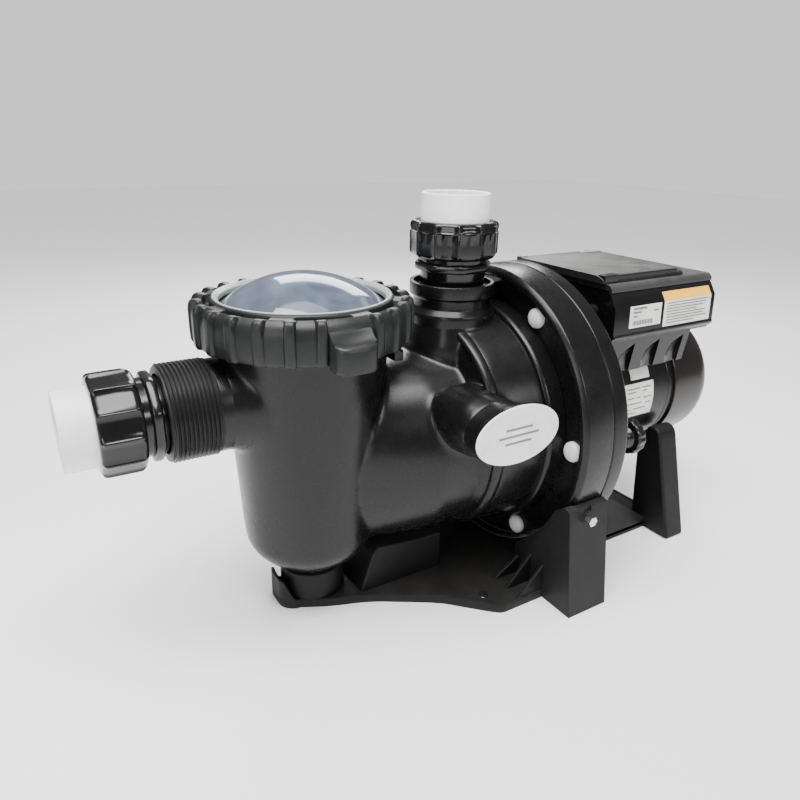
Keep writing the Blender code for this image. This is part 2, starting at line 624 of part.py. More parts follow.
def union_set(prefix, port, axis, stub, flange, nut_start, nut_end, tail_end):
    """Adapter, seal, nut and tail of one union; heights run outwards from the port face."""
    thread_end = nut_start + 0.0180
    adapter = turned([(0.0262, -stub), (0.0335, -stub), (0.0335, flange[0] + 0.001),
                      (0.0350, flange[0] + 0.002),
                      (0.0350, nut_start), (0.0370, nut_start + 0.001), (0.0370, thread_end),
                      (0.0262, thread_end)],
                     port, axis, 20)
    collar = turned([(0.0300, flange[0]), (0.0385, flange[0]), (0.0385, flange[1]), (0.0300, flange[1])],
                    port, axis, 8)
    joined(adapter, collar)
    finish(adapter, f"{prefix}_adapter", "black plastic")

    seal = ring_seal(0.0320, 0.0014, thread_end + 0.0017, port, axis, 24)
    finish(seal, f"{prefix}_oring", "rubber")

    lip = nut_end - 0.0060
    nut = turned([(0.0376, nut_start), (0.0400, nut_start), (NUT_R, nut_start + 0.0035),
                  (NUT_R, nut_end - 0.002),
                  (0.0430, nut_end), (0.0354, nut_end), (0.0354, lip), (0.0376, lip)], port, axis, 24)
    middle = Vector(port) + AXES[axis] * (nut_start + nut_end) / 2
    finish(nut, f"{prefix}_nut", "black plastic", middle)

    foot = thread_end + 0.0034
    tail = turned([(0.0265, foot), (0.0370, foot), (0.0370, lip - GAP), (TAIL_R, lip - GAP),
                   (TAIL_R, tail_end - 0.001),
                   (0.0340, tail_end), (SOCKET_R, tail_end), (SOCKET_R, foot + 0.0040),
                   (0.0265, foot + 0.0040)],
                  port, axis, 24)
    finish(tail, f"{prefix}_tail", "white plastic", Vector(port) + AXES[axis] * foot)


AXES = {"Z": Vector((0, 0, 1)), "-X": Vector((-1, 0, 0))}


# Base ------------------------------------------------------------------------------------------------

def half_outline():
    """Right half of the base plate in (station, y), from the tip under the pot to the motor end."""
    tip = [(-0.284 - 0.018 * cos(radians(a)), -0.0075 - 0.018 * sin(radians(a))) for a in (0, 30, 60, 90)]
    return tip + [(-0.258, -0.039), (-0.216, -0.0534), (-0.187, -0.0713), (-0.153, -0.0923),
                  (-0.1375, -0.108),
                  (-0.1083, -0.1377), (-0.1008, -0.1394), (0.0032, -0.1394), (0.0032, -0.097),
                  (0.1955, -0.097)]


def base():
    """Floor plate, saddle under the pot, front legs gripping the flange and rear legs under the motor."""
    right = half_outline()
    outline = [(x_at(s), y) for s, y in right] + [(x_at(s), -y) for s, y in right[::-1]]
    plate = prism(outline, 0, BASE_T, "Z")
    pedestal = rod(0.034, 0.001, 0.0392, (x_at(POT_STATION), 0, 0), "Z", 24)
    spine = prism([(x_at(-0.224), 0.001), (x_at(-0.120), 0.001), (x_at(-0.120), 0.0510),
                   (x_at(-0.147), 0.0515),
                   (x_at(-0.200), 0.0570), (x_at(-0.208), 0.0500)], -0.044, 0.044, "Y")
    pieces = [pedestal, spine]
    for side in (-1, 1):
        front = [(side * -y, z) for y, z in front_leg_outline()]
        pieces.append(prism(front, x_at(-0.0500), x_at(0.0032), "X"))
        rear = [(side * 0.134, 0), (side * 0.1005, 0.122), (side * 0.0975, 0.132), (side * 0.092, 0.137),
                (side * 0.084, 0.137), (side * 0.078, 0.133), (side * 0.0665, 0.118), (side * 0.0760, 0.004),
                (side * 0.0760, 0)]
        pieces.append(prism(rear, x_at(0.1634), x_at(0.1955), "X"))
        for y, rise in ((0.1375, 0.0415), (0.1180, 0.0440), (0.0985, 0.0300)):
            low = min(side * y, side * (y - 0.004))
            pieces.append(prism([(x_at(-0.0850), 0.004), (x_at(-0.0480), 0.004), (x_at(-0.0480), rise),
                                 (x_at(-0.0800), 0.0105)], low, low + 0.004, "Y"))
        low = min(side * 0.0970, side * 0.0930)
        pieces.append(prism([(x_at(0.0020), 0.004), (x_at(0.1640), 0.004), (x_at(0.1640), 0.014),
                             (x_at(0.0929), 0.0620), (x_at(0.0020), 0.0620)], low, low + 0.004, "Y"))
    body = joined(plate, *pieces)
    flange_room = rod(FLANGE_R + 0.0005, -0.0385, 0.0300, (SEAM_X, 0, SHAFT_Z), "X", 48)
    volute_room = on_shaft([(0, -0.113), (0.1015, -0.1135), (0.1140, -0.1095), (0.1195, -0.1020),
                            (0.1270, -0.0385),
                            (0, -0.0385)], 48)
    horn_room = horn_solid(0.0015, 24)
    pot_room = turned([(0, 0.0393), (0.0283, 0.0393), (0.0428, 0.0490), (0.0550, 0.0583), (0.0632, 0.0672),
                       (0.0682, 0.0776), (0.0700, 0.0990), (0, 0.0990)], (x_at(POT_STATION), 0, 0), "Z", 40)
    motor_room = rod(BELL_R + 0.0005, 0.150, 0.210, (SEAM_X, 0, SHAFT_Z), "X", 48)
    cut(body, flange_room, volute_room, horn_room, pot_room, motor_room)
    for side in (-1, 1):
        cut(body, rod(0.0035, 0.150, 0.19, (x_at(-0.026), 0, LEG_SCREW_Z), "Y" if side > 0 else "-Y", 12))
    for x, y in anchor_places():
        cut(body, rod(0.0055, -0.01, 0.02, (x, y, 0), "Z", 16))
    finish(body, "base", "matte black")

    for side, name in ((-1, "leg_screw_left"), (1, "leg_screw_right")):
        face = 0.1706
        screw = turned([(0, face - 0.0150), (0.0032, face - 0.0150), (0.0032, face), (0.0055, face),
                        (0.0055, face + 0.0040), (0, face + 0.0040)], (x_at(-0.026), 0, LEG_SCREW_Z),
                       "Y" if side > 0 else "-Y", 6)
        finish(screw, name, "steel")


LEG_SCREW_Z = 0.106


def front_leg_outline():
    """Cross-section of the -Y front leg in (y, z): sloped outside, hollowed to the flange circle."""
    outer = [(0.1806, 0.0), (0.1660, 0.1060), (0.1640, 0.1180), (0.1560, 0.1200)]
    inner = []
    for z in (0.110, 0.095, 0.078, 0.060):
        inner.append((sqrt(0.1560 ** 2 - (SHAFT_Z - z) ** 2), z))
    return [(-y, z) for y, z in outer + inner + [(0.0900, 0.0400), (0.0900, 0.0)]]


def anchor_places():
    """Hold-down holes through the base plate."""
    for station, y in ((-0.110, 0.112), (0.120, 0.080)):
        for side in (-1, 1):
            yield x_at(station), side * y


clear_scene()
housing()
badge()
lid()
strainer_basket()
drain_plug("pot_drain_plug", POT_STATION, 0.0740, POT_DRAIN_Z)
drain_plug("volute_drain_plug", -0.070, 0.0920, 0.078)
hydraulics()
seal_plate()
flange_bolts()
motor()
drive()
union_set("suction", (x_at(INLET_FACE), 0, INLET_Z), "-X", 0.020, (0.0040, 0.0135), 0.0195, 0.0560,
          INLET_FACE - SUCTION_END)
union_set("discharge", (x_at(OUTLET_STATION), 0, OUTLET_FACE), "Z", 0.020, (0.0115, 0.0205),
          0.0250, 0.0611, 0.0880)
base()
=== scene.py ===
import bmesh
import bpy
from math import cos, hypot, pi, radians, sin, sqrt
from mathutils import Matrix, Vector


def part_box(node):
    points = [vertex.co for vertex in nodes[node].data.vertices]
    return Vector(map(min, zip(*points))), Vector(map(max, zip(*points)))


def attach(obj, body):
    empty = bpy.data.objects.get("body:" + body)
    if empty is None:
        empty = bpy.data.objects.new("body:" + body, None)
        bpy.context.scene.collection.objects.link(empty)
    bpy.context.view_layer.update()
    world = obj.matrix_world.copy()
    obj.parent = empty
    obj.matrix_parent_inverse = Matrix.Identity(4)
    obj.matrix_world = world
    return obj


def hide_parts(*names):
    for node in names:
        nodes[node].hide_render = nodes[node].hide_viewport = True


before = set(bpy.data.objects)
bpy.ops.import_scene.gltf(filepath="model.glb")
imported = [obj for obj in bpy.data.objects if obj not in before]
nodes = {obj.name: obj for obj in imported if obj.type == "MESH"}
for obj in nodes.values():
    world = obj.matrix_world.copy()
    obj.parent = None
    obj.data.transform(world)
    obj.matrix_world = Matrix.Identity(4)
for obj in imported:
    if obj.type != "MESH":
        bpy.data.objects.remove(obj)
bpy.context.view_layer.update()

# places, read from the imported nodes
ringLow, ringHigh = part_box("lock_ring")
potX = (ringLow.x + ringHigh.x) / 2
dischargeLow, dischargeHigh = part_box("discharge_nut")
outletX = (dischargeLow.x + dischargeHigh.x) / 2
portZ = dischargeLow.z - 0.0250          # top face of the outlet
suctionLow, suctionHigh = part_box("suction_nut")
inletX = suctionHigh.x + 0.0195          # outer face of the inlet
inletZ = (suctionLow.z + suctionHigh.z) / 2
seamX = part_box("housing")[1].x + 0.0003  # seam between housing and seal plate
shellLow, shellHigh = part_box("motor_shell")
shaftZ = (shellLow.z + shellHigh.z) / 2

shaftPlace = Matrix(((0, 0, 1, seamX), (1, 0, 0, 0), (0, 1, 0, shaftZ), (0, 0, 0, 1)))
potPlace = Matrix.Translation((potX, 0, 0))
outletPlace = Matrix.Translation((outletX, 0, portZ))
inletPlace = Matrix(((0, 0, -1, inletX), (1, 0, 0, 0), (0, -1, 0, inletZ), (0, 0, 0, 1)))


def xAt(station):
    return seamX + station


# mesh helpers
def shaded(piece, angle=38):
    piece.data.shade_smooth()
    piece.data.set_sharp_from_angle(angle=radians(angle))
    return piece


def meshFrom(name, points, faces, angle=38):
    mesh = bpy.data.meshes.new(name)
    mesh.from_pydata([tuple(point) for point in points], [], faces)
    bm = bmesh.new()
    bm.from_mesh(mesh)
    bmesh.ops.remove_doubles(bm, verts=bm.verts, dist=1e-7)
    bmesh.ops.recalc_face_normals(bm, faces=bm.faces)
    bm.to_mesh(mesh)
    bm.free()
    piece = bpy.data.objects.new(name, mesh)
    bpy.context.scene.collection.objects.link(piece)
    return shaded(piece, angle)


# surface through rings of equal point counts; loop joins last to first, else the ends are capped
def skin(name, rings, place=None, loop=False, angle=38):
    place = place or Matrix.Identity(4)
    count = len(rings[0])
    points = [place @ Vector(point) for ring in rings for point in ring]
    faces = []
    last = len(rings) if loop else len(rings) - 1
    for row in range(last):
        after = (row + 1) % len(rings)
        for index in range(count):
            step = (index + 1) % count
            faces.append((row * count + index, row * count + step, after * count + step,
                          after * count + index))
    if not loop:
        faces.append(tuple(range(count)))
        faces.append(tuple((len(rings) - 1) * count + index for index in range(count)))
    return meshFrom(name, points, faces, angle)


# turned piece of (radius, height) points; shape can move each point by its angle
def lathe(name, profile, place, steps=96, shape=None, angle=38):
    loop = profile[0][0] > 0 or profile[-1][0] > 0
    rings = []
    for radius, height in profile:
        ring = []
        for index in range(steps):
            turn = 2 * pi * index / steps
            r, h = shape(radius, height, turn) if shape else (radius, height)
            ring.append((r * cos(turn), r * sin(turn), h))
        rings.append(ring)
    return skin(name, rings, place, loop, angle)


# round the corners of a profile; a profile off the axis is treated as a closed loop
def soften(points, size, steps=3):
    loop = points[0][0] > 0 or points[-1][0] > 0
    result = []
    count = len(points)
    for index, point in enumerate(points):
        here = Vector(point[:2])
        if not loop and index in (0, count - 1):
            result.append(tuple(here))
            continue
        before = Vector(points[index - 1][:2]) - here
        after = Vector(points[(index + 1) % count][:2]) - here
        want = point[2] if len(point) > 2 else size
        cutBack = min(want, before.length * 0.48, after.length * 0.48)
        flat = want == 0 or before.length == 0 or after.length == 0
        if flat or before.normalized().dot(after.normalized()) < -0.996:
            result.append(tuple(here))
            continue
        start = here + before.normalized() * cutBack
        end = here + after.normalized() * cutBack
        for step in range(steps + 1):
            t = step / steps
            result.append(tuple((1 - t) ** 2 * start + 2 * t * (1 - t) * here + t ** 2 * end))
    return result


def applied(piece):
    graph = bpy.context.evaluated_depsgraph_get()
    mesh = bpy.data.meshes.new_from_object(piece.evaluated_get(graph))
    piece.modifiers.clear()
    piece.data = mesh
    return piece


# bevel the sharp edges of a piece
def rounded(piece, width, segments=3, limit=30):
    modifier = piece.modifiers.new("edges", "BEVEL")
    modifier.width = width
    modifier.segments = segments
    modifier.limit_method = "ANGLE"
    modifier.angle_limit = radians(limit)
    applied(piece)
    shaded(piece, 50)
    weights = piece.modifiers.new("weights", "WEIGHTED_NORMAL")
    weights.keep_sharp = True
    return piece


def carve(piece, *tools, operation="DIFFERENCE", solver="MANIFOLD"):
    for tool in tools:
        modifier = piece.modifiers.new("carve", "BOOLEAN")
        modifier.operation = operation
        modifier.object = tool
        modifier.solver = solver
        applied(piece)
        bpy.data.objects.remove(tool, do_unlink=True)
    return shaded(piece)


# put several pieces into one object
def merge(name, *pieces):
    bm = bmesh.new()
    for piece in pieces:
        solid = applied(piece)
        bm.from_mesh(solid.data)
        bpy.data.objects.remove(solid, do_unlink=True)
    mesh = bpy.data.meshes.new(name)
    bm.to_mesh(mesh)
    bm.free()
    result = bpy.data.objects.new(name, mesh)
    bpy.context.scene.collection.objects.link(result)
    shaded(result, 50)
    weights = result.modifiers.new("weights", "WEIGHTED_NORMAL")
    weights.keep_sharp = True
    return result


# extrude an outline: (x, y) along Z, (y, z) along X, or (x, z) along Y
def prism(name, outline, low, high, along="Z"):
    place = {"Z": lambda p, h: (p[0], p[1], h), "X": lambda p, h: (h, p[0], p[1]), "Y": lambda p,
             h: (p[0], h, p[1])}
    rings = [[place[along](point, height) for point in outline] for height in (low, high)]
    return skin(name, rings)


def block(name, low, high):
    outline = [(low[0], low[1]), (high[0], low[1]), (high[0], high[1]), (low[0], high[1])]
    return prism(name, outline, low[2], high[2])


def rod(name, radius, start, end, place, steps=48):
    return lathe(name, [(0, start), (radius, start), (radius, end), (0, end)], place, steps)


def arc(radius, startDeg, endDeg, steps, centre):
    points = []
    for index in range(steps + 1):
        turn = radians(startDeg + (endDeg - startDeg) * index / steps)
        points.append((centre[0] + radius * cos(turn), centre[1] + radius * sin(turn)))
    return points


# 1 inside the half width, falling smoothly to 0 over the soft distance
def bump(value, halfWidth, soft):
    t = min(1, max(0, (halfWidth + soft - abs(value)) / soft))
    return t * t * (3 - 2 * t)


# shader groups shared by the finishes
def socketsOf(group, entries):
    for name, kind, way, value in entries:
        socket = group.interface.new_socket(name=name, in_out=way, socket_type=kind)
        if way == "INPUT" and value is not None:
            socket.default_value = value


def makeGrainGroup():
    group = bpy.data.node_groups.new("mouldedGrain", "ShaderNodeTree")
    socketsOf(group, [("Grain Scale", "NodeSocketFloat", "INPUT", 900.0),
                      ("Grain Depth", "NodeSocketFloat", "INPUT", 0.5),
                      ("Ripple Depth", "NodeSocketFloat", "INPUT", 0.3),
                      ("Height", "NodeSocketFloat", "OUTPUT", None),
                      ("Mottle", "NodeSocketFloat", "OUTPUT", None)])
    tree = group.nodes
    link = group.links.new
    entry = tree.new("NodeGroupInput")
    leave = tree.new("NodeGroupOutput")
    place = tree.new("ShaderNodeTexCoord")
    fine = tree.new("ShaderNodeTexNoise")
    fine.inputs["Detail"].default_value = 3.0
    ripple = tree.new("ShaderNodeTexNoise")
    ripple.inputs["Scale"].default_value = 28.0
    ripple.inputs["Detail"].default_value = 2.0
    mottle = tree.new("ShaderNodeTexNoise")
    mottle.inputs["Scale"].default_value = 45.0
    mottle.inputs["Detail"].default_value = 5.0
    mottle.inputs["Roughness"].default_value = 0.6
    for texture in (fine, ripple, mottle):
        link(place.outputs["Object"], texture.inputs["Vector"])
    link(entry.outputs["Grain Scale"], fine.inputs["Scale"])
    first = tree.new("ShaderNodeMath")
    first.operation = "MULTIPLY"
    link(fine.outputs["Fac"], first.inputs[0])
    link(entry.outputs["Grain Depth"], first.inputs[1])
    second = tree.new("ShaderNodeMath")
    second.operation = "MULTIPLY_ADD"
    link(ripple.outputs["Fac"], second.inputs[0])
    link(entry.outputs["Ripple Depth"], second.inputs[1])
    link(first.outputs[0], second.inputs[2])
    link(second.outputs[0], leave.inputs["Height"])
    link(mottle.outputs["Fac"], leave.inputs["Mottle"])
    return group


# lighter rubbed edges and a thin film of dust on faces that look up
def makeWearGroup():
    group = bpy.data.node_groups.new("edgeAndDust", "ShaderNodeTree")
    socketsOf(group, [("Color", "NodeSocketColor", "INPUT", (0, 0, 0, 1)),
                      ("Edge Color", "NodeSocketColor", "INPUT", (0.1, 0.1, 0.1, 1)),
                      ("Edge Amount", "NodeSocketFloat", "INPUT", 0.3),
                      ("Dust Color", "NodeSocketColor", "INPUT", (0.3, 0.29, 0.27, 1)),
                      ("Dust Amount", "NodeSocketFloat", "INPUT", 0.05),
                      ("Roughness", "NodeSocketFloat", "INPUT", 0.3),
                      ("Mottle", "NodeSocketFloat", "INPUT", 0.5),
                      ("Roughness Spread", "NodeSocketFloat", "INPUT", 0.15),
                      ("Color", "NodeSocketColor", "OUTPUT", None),
                      ("Roughness", "NodeSocketFloat", "OUTPUT", None)])
    tree = group.nodes
    link = group.links.new
    entry = tree.new("NodeGroupInput")
    leave = tree.new("NodeGroupOutput")
    geometry = tree.new("ShaderNodeNewGeometry")
    edge = tree.new("ShaderNodeMapRange")
    edge.inputs["From Min"].default_value = 0.54
    edge.inputs["From Max"].default_value = 0.66
    link(geometry.outputs["Pointiness"], edge.inputs["Value"])
    rubbed = tree.new("ShaderNodeMath")
    rubbed.operation = "MULTIPLY"
    link(edge.outputs["Result"], rubbed.inputs[0])
    link(entry.outputs["Mottle"], rubbed.inputs[1])
    edgeShare = tree.new("ShaderNodeMath")
    edgeShare.operation = "MULTIPLY"
    link(rubbed.outputs[0], edgeShare.inputs[0])
    link(entry.outputs["Edge Amount"], edgeShare.inputs[1])
    worn = tree.new("ShaderNodeMix")
    worn.data_type = "RGBA"
    link(edgeShare.outputs[0], worn.inputs[0])
    link(entry.outputs[0], worn.inputs[6])
    link(entry.outputs["Edge Color"], worn.inputs[7])
    split = tree.new("ShaderNodeSeparateXYZ")
    link(geometry.outputs["Normal"], split.inputs[0])
    upward = tree.new("ShaderNodeMapRange")
    upward.inputs["From Min"].default_value = 0.45
    upward.inputs["From Max"].default_value = 1.0
    link(split.outputs["Z"], upward.inputs["Value"])
    dust = tree.new("ShaderNodeMath")
    dust.operation = "MULTIPLY"
    link(upward.outputs["Result"], dust.inputs[0])
    link(entry.outputs["Mottle"], dust.inputs[1])
    dustShare = tree.new("ShaderNodeMath")
    dustShare.operation = "MULTIPLY"
    link(dust.outputs[0], dustShare.inputs[0])
    link(entry.outputs["Dust Amount"], dustShare.inputs[1])
    dusty = tree.new("ShaderNodeMix")
    dusty.data_type = "RGBA"
    link(dustShare.outputs[0], dusty.inputs[0])
    link(worn.outputs[2], dusty.inputs[6])
    link(entry.outputs["Dust Color"], dusty.inputs[7])
    link(dusty.outputs[2], leave.inputs["Color"])
    centred = tree.new("ShaderNodeMath")
    centred.operation = "SUBTRACT"
    link(entry.outputs["Mottle"], centred.inputs[0])
    centred.inputs[1].default_value = 0.5
    spread = tree.new("ShaderNodeMath")
    spread.operation = "MULTIPLY_ADD"
    link(centred.outputs[0], spread.inputs[0])
    link(entry.outputs["Roughness Spread"], spread.inputs[1])
    link(entry.outputs[5], spread.inputs[2])
    total = tree.new("ShaderNodeMath")
    total.operation = "ADD"
    link(spread.outputs[0], total.inputs[0])
    link(dustShare.outputs[0], total.inputs[1])
    link(total.outputs[0], leave.inputs["Roughness"])
    return group


grainGroup = makeGrainGroup()
wearGroup = makeWearGroup()

# one entry per finish; colours are linear
finishes = {"body": dict(specular=0.3, colour=(0.0045, 0.0045, 0.0048), roughness=0.27, grainScale=700,
                         grain=0.2, ripple=0.9, edge=0.08, dust=0.01, spread=0.20),
            "ring": dict(specular=0.28, colour=(0.011, 0.0115, 0.012), roughness=0.36, grainScale=900,
                         grain=0.5, ripple=0.6, edge=0.45, dust=0.05, spread=0.25),
            "union": dict(specular=0.42, colour=(0.004, 0.004, 0.0045), roughness=0.16, grainScale=600,
                          grain=0.1, ripple=0.5, edge=0.25, dust=0.04, spread=0.12),
            "thread": dict(specular=0.25, colour=(0.007, 0.007, 0.007), roughness=0.45, grainScale=800,
                           grain=0.3, ripple=0.3, edge=0.35, dust=0.06, spread=0.15),
            "base": dict(specular=0.22, colour=(0.006, 0.0055, 0.0055), roughness=0.50, grainScale=800,
                         grain=0.6, ripple=0.6, edge=0.35, dust=0.08, spread=0.25),
            "drive": dict(specular=0.4, colour=(0.003, 0.003, 0.0035), roughness=0.22, grainScale=900,
                          grain=0.15, ripple=0.3, edge=0.35, dust=0.05, spread=0.12),
            "cover": dict(specular=0.5, colour=(0.009, 0.009, 0.010), roughness=0.24, grainScale=900,
                          grain=0.15, ripple=0.3, edge=0.45, dust=0.35, spread=0.15),
            "knob": dict(colour=(0.005, 0.005, 0.007), roughness=0.25, grainScale=700, grain=0.2,
                         ripple=0.2, edge=0.4, dust=0.03, spread=0.1),
            "inner": dict(colour=(0.018, 0.018, 0.019), roughness=0.5, grainScale=900, grain=0.4,
                          ripple=0.2, edge=0.2, dust=0.0, spread=0.2),
            "basket": dict(colour=(0.42, 0.43, 0.43), roughness=0.45, grainScale=900, grain=0.3, ripple=0.2,
                           edge=0.1, dust=0.1, spread=0.15), "white": dict(colour=(0.86, 0.86, 0.85),
        roughness=0.38, grainScale=900, grain=0.15, ripple=0.2, edge=0.0, dust=0.10, spread=0.12),
            "badge": dict(colour=(0.82, 0.82, 0.82), roughness=0.28, grainScale=900, grain=0.1, ripple=0.1,
                          edge=0.0, dust=0.06, spread=0.1), "cap": dict(colour=(0.60, 0.60, 0.60),
        roughness=0.34, grainScale=900, grain=0.2, ripple=0.1, edge=0.0, dust=0.08, spread=0.1),
            "rubber": dict(colour=(0.012, 0.012, 0.012), roughness=0.7, grainScale=1200, grain=0.4,
                           ripple=0.0, edge=0.1, dust=0.0, spread=0.1),
            "paint": dict(specular=0.35, colour=(0.006, 0.005, 0.005), roughness=0.30, grainScale=500,
                          grain=0.3, ripple=0.4, edge=0.3, dust=0.05, spread=0.15),
            "bell": dict(colour=(0.013, 0.010, 0.009), roughness=0.20, grainScale=500, grain=0.2,
                         ripple=0.5, edge=0.3, dust=0.06, spread=0.15),
            "castAluminium": dict(colour=(0.10, 0.10, 0.10), roughness=0.5, metallic=0.8, grainScale=600,
                                  grain=0.9, ripple=0.3, edge=0.4, dust=0.03, spread=0.2),
            "steel": dict(colour=(0.60, 0.60, 0.58), roughness=0.30, metallic=1.0, grainScale=900,
                          grain=0.3, ripple=0.2, edge=0.0, dust=0.02, spread=0.2),
            "lamination": dict(colour=(0.30, 0.30, 0.30), roughness=0.45, metallic=0.9, grainScale=900,
                               grain=0.3, ripple=0.1, edge=0.1, dust=0.0, spread=0.2),
            "copper": dict(colour=(0.70, 0.30, 0.12), roughness=0.38, metallic=0.9, grainScale=500,
                           grain=0.9, ripple=0.2, edge=0.0, dust=0.0, spread=0.2),
            "ceramic": dict(colour=(0.78, 0.76, 0.70), roughness=0.25, grainScale=900, grain=0.1,
                            ripple=0.0, edge=0.0, dust=0.0, spread=0.1),
            "board": dict(colour=(0.02, 0.14, 0.06), roughness=0.4, grainScale=300, grain=0.3, ripple=0.0,
                          edge=0.0, dust=0.0, spread=0.2), "button": dict(colour=(0.08, 0.16, 0.34),
        roughness=0.4, grainScale=900, grain=0.3, ripple=0.0, edge=0.2, dust=0.02, spread=0.1),
            "yellowInk": dict(colour=(0.85, 0.48, 0.05), roughness=0.4, grainScale=900, grain=0.1,
                              ripple=0.0, edge=0.0, dust=0.0, spread=0.1),
            "greyInk": dict(colour=(0.16, 0.16, 0.17), roughness=0.4, grainScale=900, grain=0.1, ripple=0.0,
                            edge=0.0, dust=0.0, spread=0.1), "label": dict(colour=(0.78, 0.77, 0.73),
        roughness=0.42, grainScale=900, grain=0.1, ripple=0.1, edge=0.0, dust=0.05, spread=0.1),
            "trim": dict(colour=(0.30, 0.33, 0.33), roughness=0.28, grainScale=900, grain=0.2, ripple=0.2,
                         edge=0.2, dust=0.1, spread=0.15), }


def makeFinish(name):
    look = finishes[name]
    material = bpy.data.materials.new(name)
    material.use_nodes = True
    tree = material.node_tree
    shader = tree.nodes["Principled BSDF"]
    shader.inputs["Metallic"].default_value = look.get("metallic", 0.0)
    shader.inputs["Specular IOR Level"].default_value = look.get("specular", 0.5)
    grain = tree.nodes.new("ShaderNodeGroup")
    grain.node_tree = grainGroup
    grain.inputs["Grain Scale"].default_value = look["grainScale"]
    grain.inputs["Grain Depth"].default_value = look["grain"]
    grain.inputs["Ripple Depth"].default_value = look["ripple"]
    wear = tree.nodes.new("ShaderNodeGroup")
    wear.node_tree = wearGroup
    colour = look["colour"]
    tint = tree.nodes.new("ShaderNodeMix")
    tint.data_type = "RGBA"
    tint.inputs[6].default_value = (*[0.8 * part for part in colour], 1)
    tint.inputs[7].default_value = (*[min(1, 1.2 * part) for part in colour], 1)
    tree.links.new(grain.outputs["Mottle"], tint.inputs[0])
    tree.links.new(tint.outputs[2], wear.inputs[0])
    wear.inputs["Edge Color"].default_value = (*[min(1, 3.5 * part + 0.05) for part in colour], 1)
    wear.inputs["Edge Amount"].default_value = look["edge"]
    wear.inputs["Dust Amount"].default_value = look["dust"]
    wear.inputs[5].default_value = look["roughness"]
    wear.inputs["Roughness Spread"].default_value = look["spread"]
    tree.links.new(grain.outputs["Mottle"], wear.inputs["Mottle"])
    tree.links.new(wear.outputs["Color"], shader.inputs["Base Color"])
    tree.links.new(wear.outputs["Roughness"], shader.inputs["Roughness"])
    relief = tree.nodes.new("ShaderNodeBump")
    relief.inputs["Distance"].default_value = 0.0004
    relief.inputs["Strength"].default_value = 0.6
    tree.links.new(grain.outputs["Height"], relief.inputs["Height"])
    tree.links.new(relief.outputs["Normal"], shader.inputs["Normal"])
    return material


# clear lid plastic, slightly smoky, with hazy patches in its roughness; the colour mottles from a smoky dark
# blue to a light blue, partly real tint and partly painted cloudy reflection
def makeClear():
    material = bpy.data.materials.new("clearLid")
    material.use_nodes = True
    tree = material.node_tree
    shader = tree.nodes["Principled BSDF"]
    shader.inputs["Transmission Weight"].default_value = 0.72
    shader.inputs["IOR"].default_value = 1.55
    shader.inputs["Metallic"].default_value = 0.0
    grain = tree.nodes.new("ShaderNodeGroup")
    grain.node_tree = grainGroup
    grain.inputs["Grain Depth"].default_value = 0.02
    grain.inputs["Ripple Depth"].default_value = 0.6
    # painted reflection: the mottle mixes the real smoky dark blue with a light blue that stands in for
    # cloudy reflections on the lid
    tint = tree.nodes.new("ShaderNodeMix")
    tint.data_type = "RGBA"
    tint.inputs[6].default_value = (0.05, 0.08, 0.15, 1)
    tint.inputs[7].default_value = (0.46, 0.54, 0.66, 1)
    tree.links.new(grain.outputs["Mottle"], tint.inputs[0])
    tree.links.new(tint.outputs[2], shader.inputs["Base Color"])
    haze = tree.nodes.new("ShaderNodeMapRange")
    haze.inputs["To Min"].default_value = 0.02
    haze.inputs["To Max"].default_value = 0.14
    tree.links.new(grain.outputs["Mottle"], haze.inputs["Value"])
    tree.links.new(haze.outputs["Result"], shader.inputs["Roughness"])
    relief = tree.nodes.new("ShaderNodeBump")
    relief.inputs["Distance"].default_value = 0.0006
    relief.inputs["Strength"].default_value = 0.5
    tree.links.new(grain.outputs["Height"], relief.inputs["Height"])
    tree.links.new(relief.outputs["Normal"], shader.inputs["Normal"])
    return material


materials = {name: makeFinish(name) for name in finishes}
materials["clear"] = makeClear()


# give a piece its finish and body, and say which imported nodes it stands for
def dress(piece, finish, body, slot, *replaced):
    piece.data.materials.clear()
    piece.data.materials.append(materials[finish])
    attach(piece, body)
    if replaced:
        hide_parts(*replaced)
    return piece


# housing
housing = dict(voxel=0.0021, blendPasses=22)


def ovalRing(y, halfX, halfZ, station, steps=64, z=0.210):
    return [(xAt(station) + halfX * cos(2 * pi * index / steps), y, z + halfZ * sin(2 * pi * index / steps))
            for index in range(steps)]


def hornRings(grow, steps=64):
    rings = []
    for station, halfY, halfZ, z in ((-0.259, 0.060, 0.094, 0.154), (-0.225, 0.070, 0.097, 0.155),
                                     (-0.190, 0.084, 0.099, 0.155), (-0.155, 0.097, 0.101, 0.156),
                                     (-0.1115, 0.102, 0.102, 0.157), (-0.0985, 0.102, 0.102, 0.157)):
        rings.append([(xAt(station), (halfY + grow) * cos(2 * pi * index / steps),
                       z + (halfZ + grow) * sin(2 * pi * index / steps)) for index in range(steps)])
    return rings


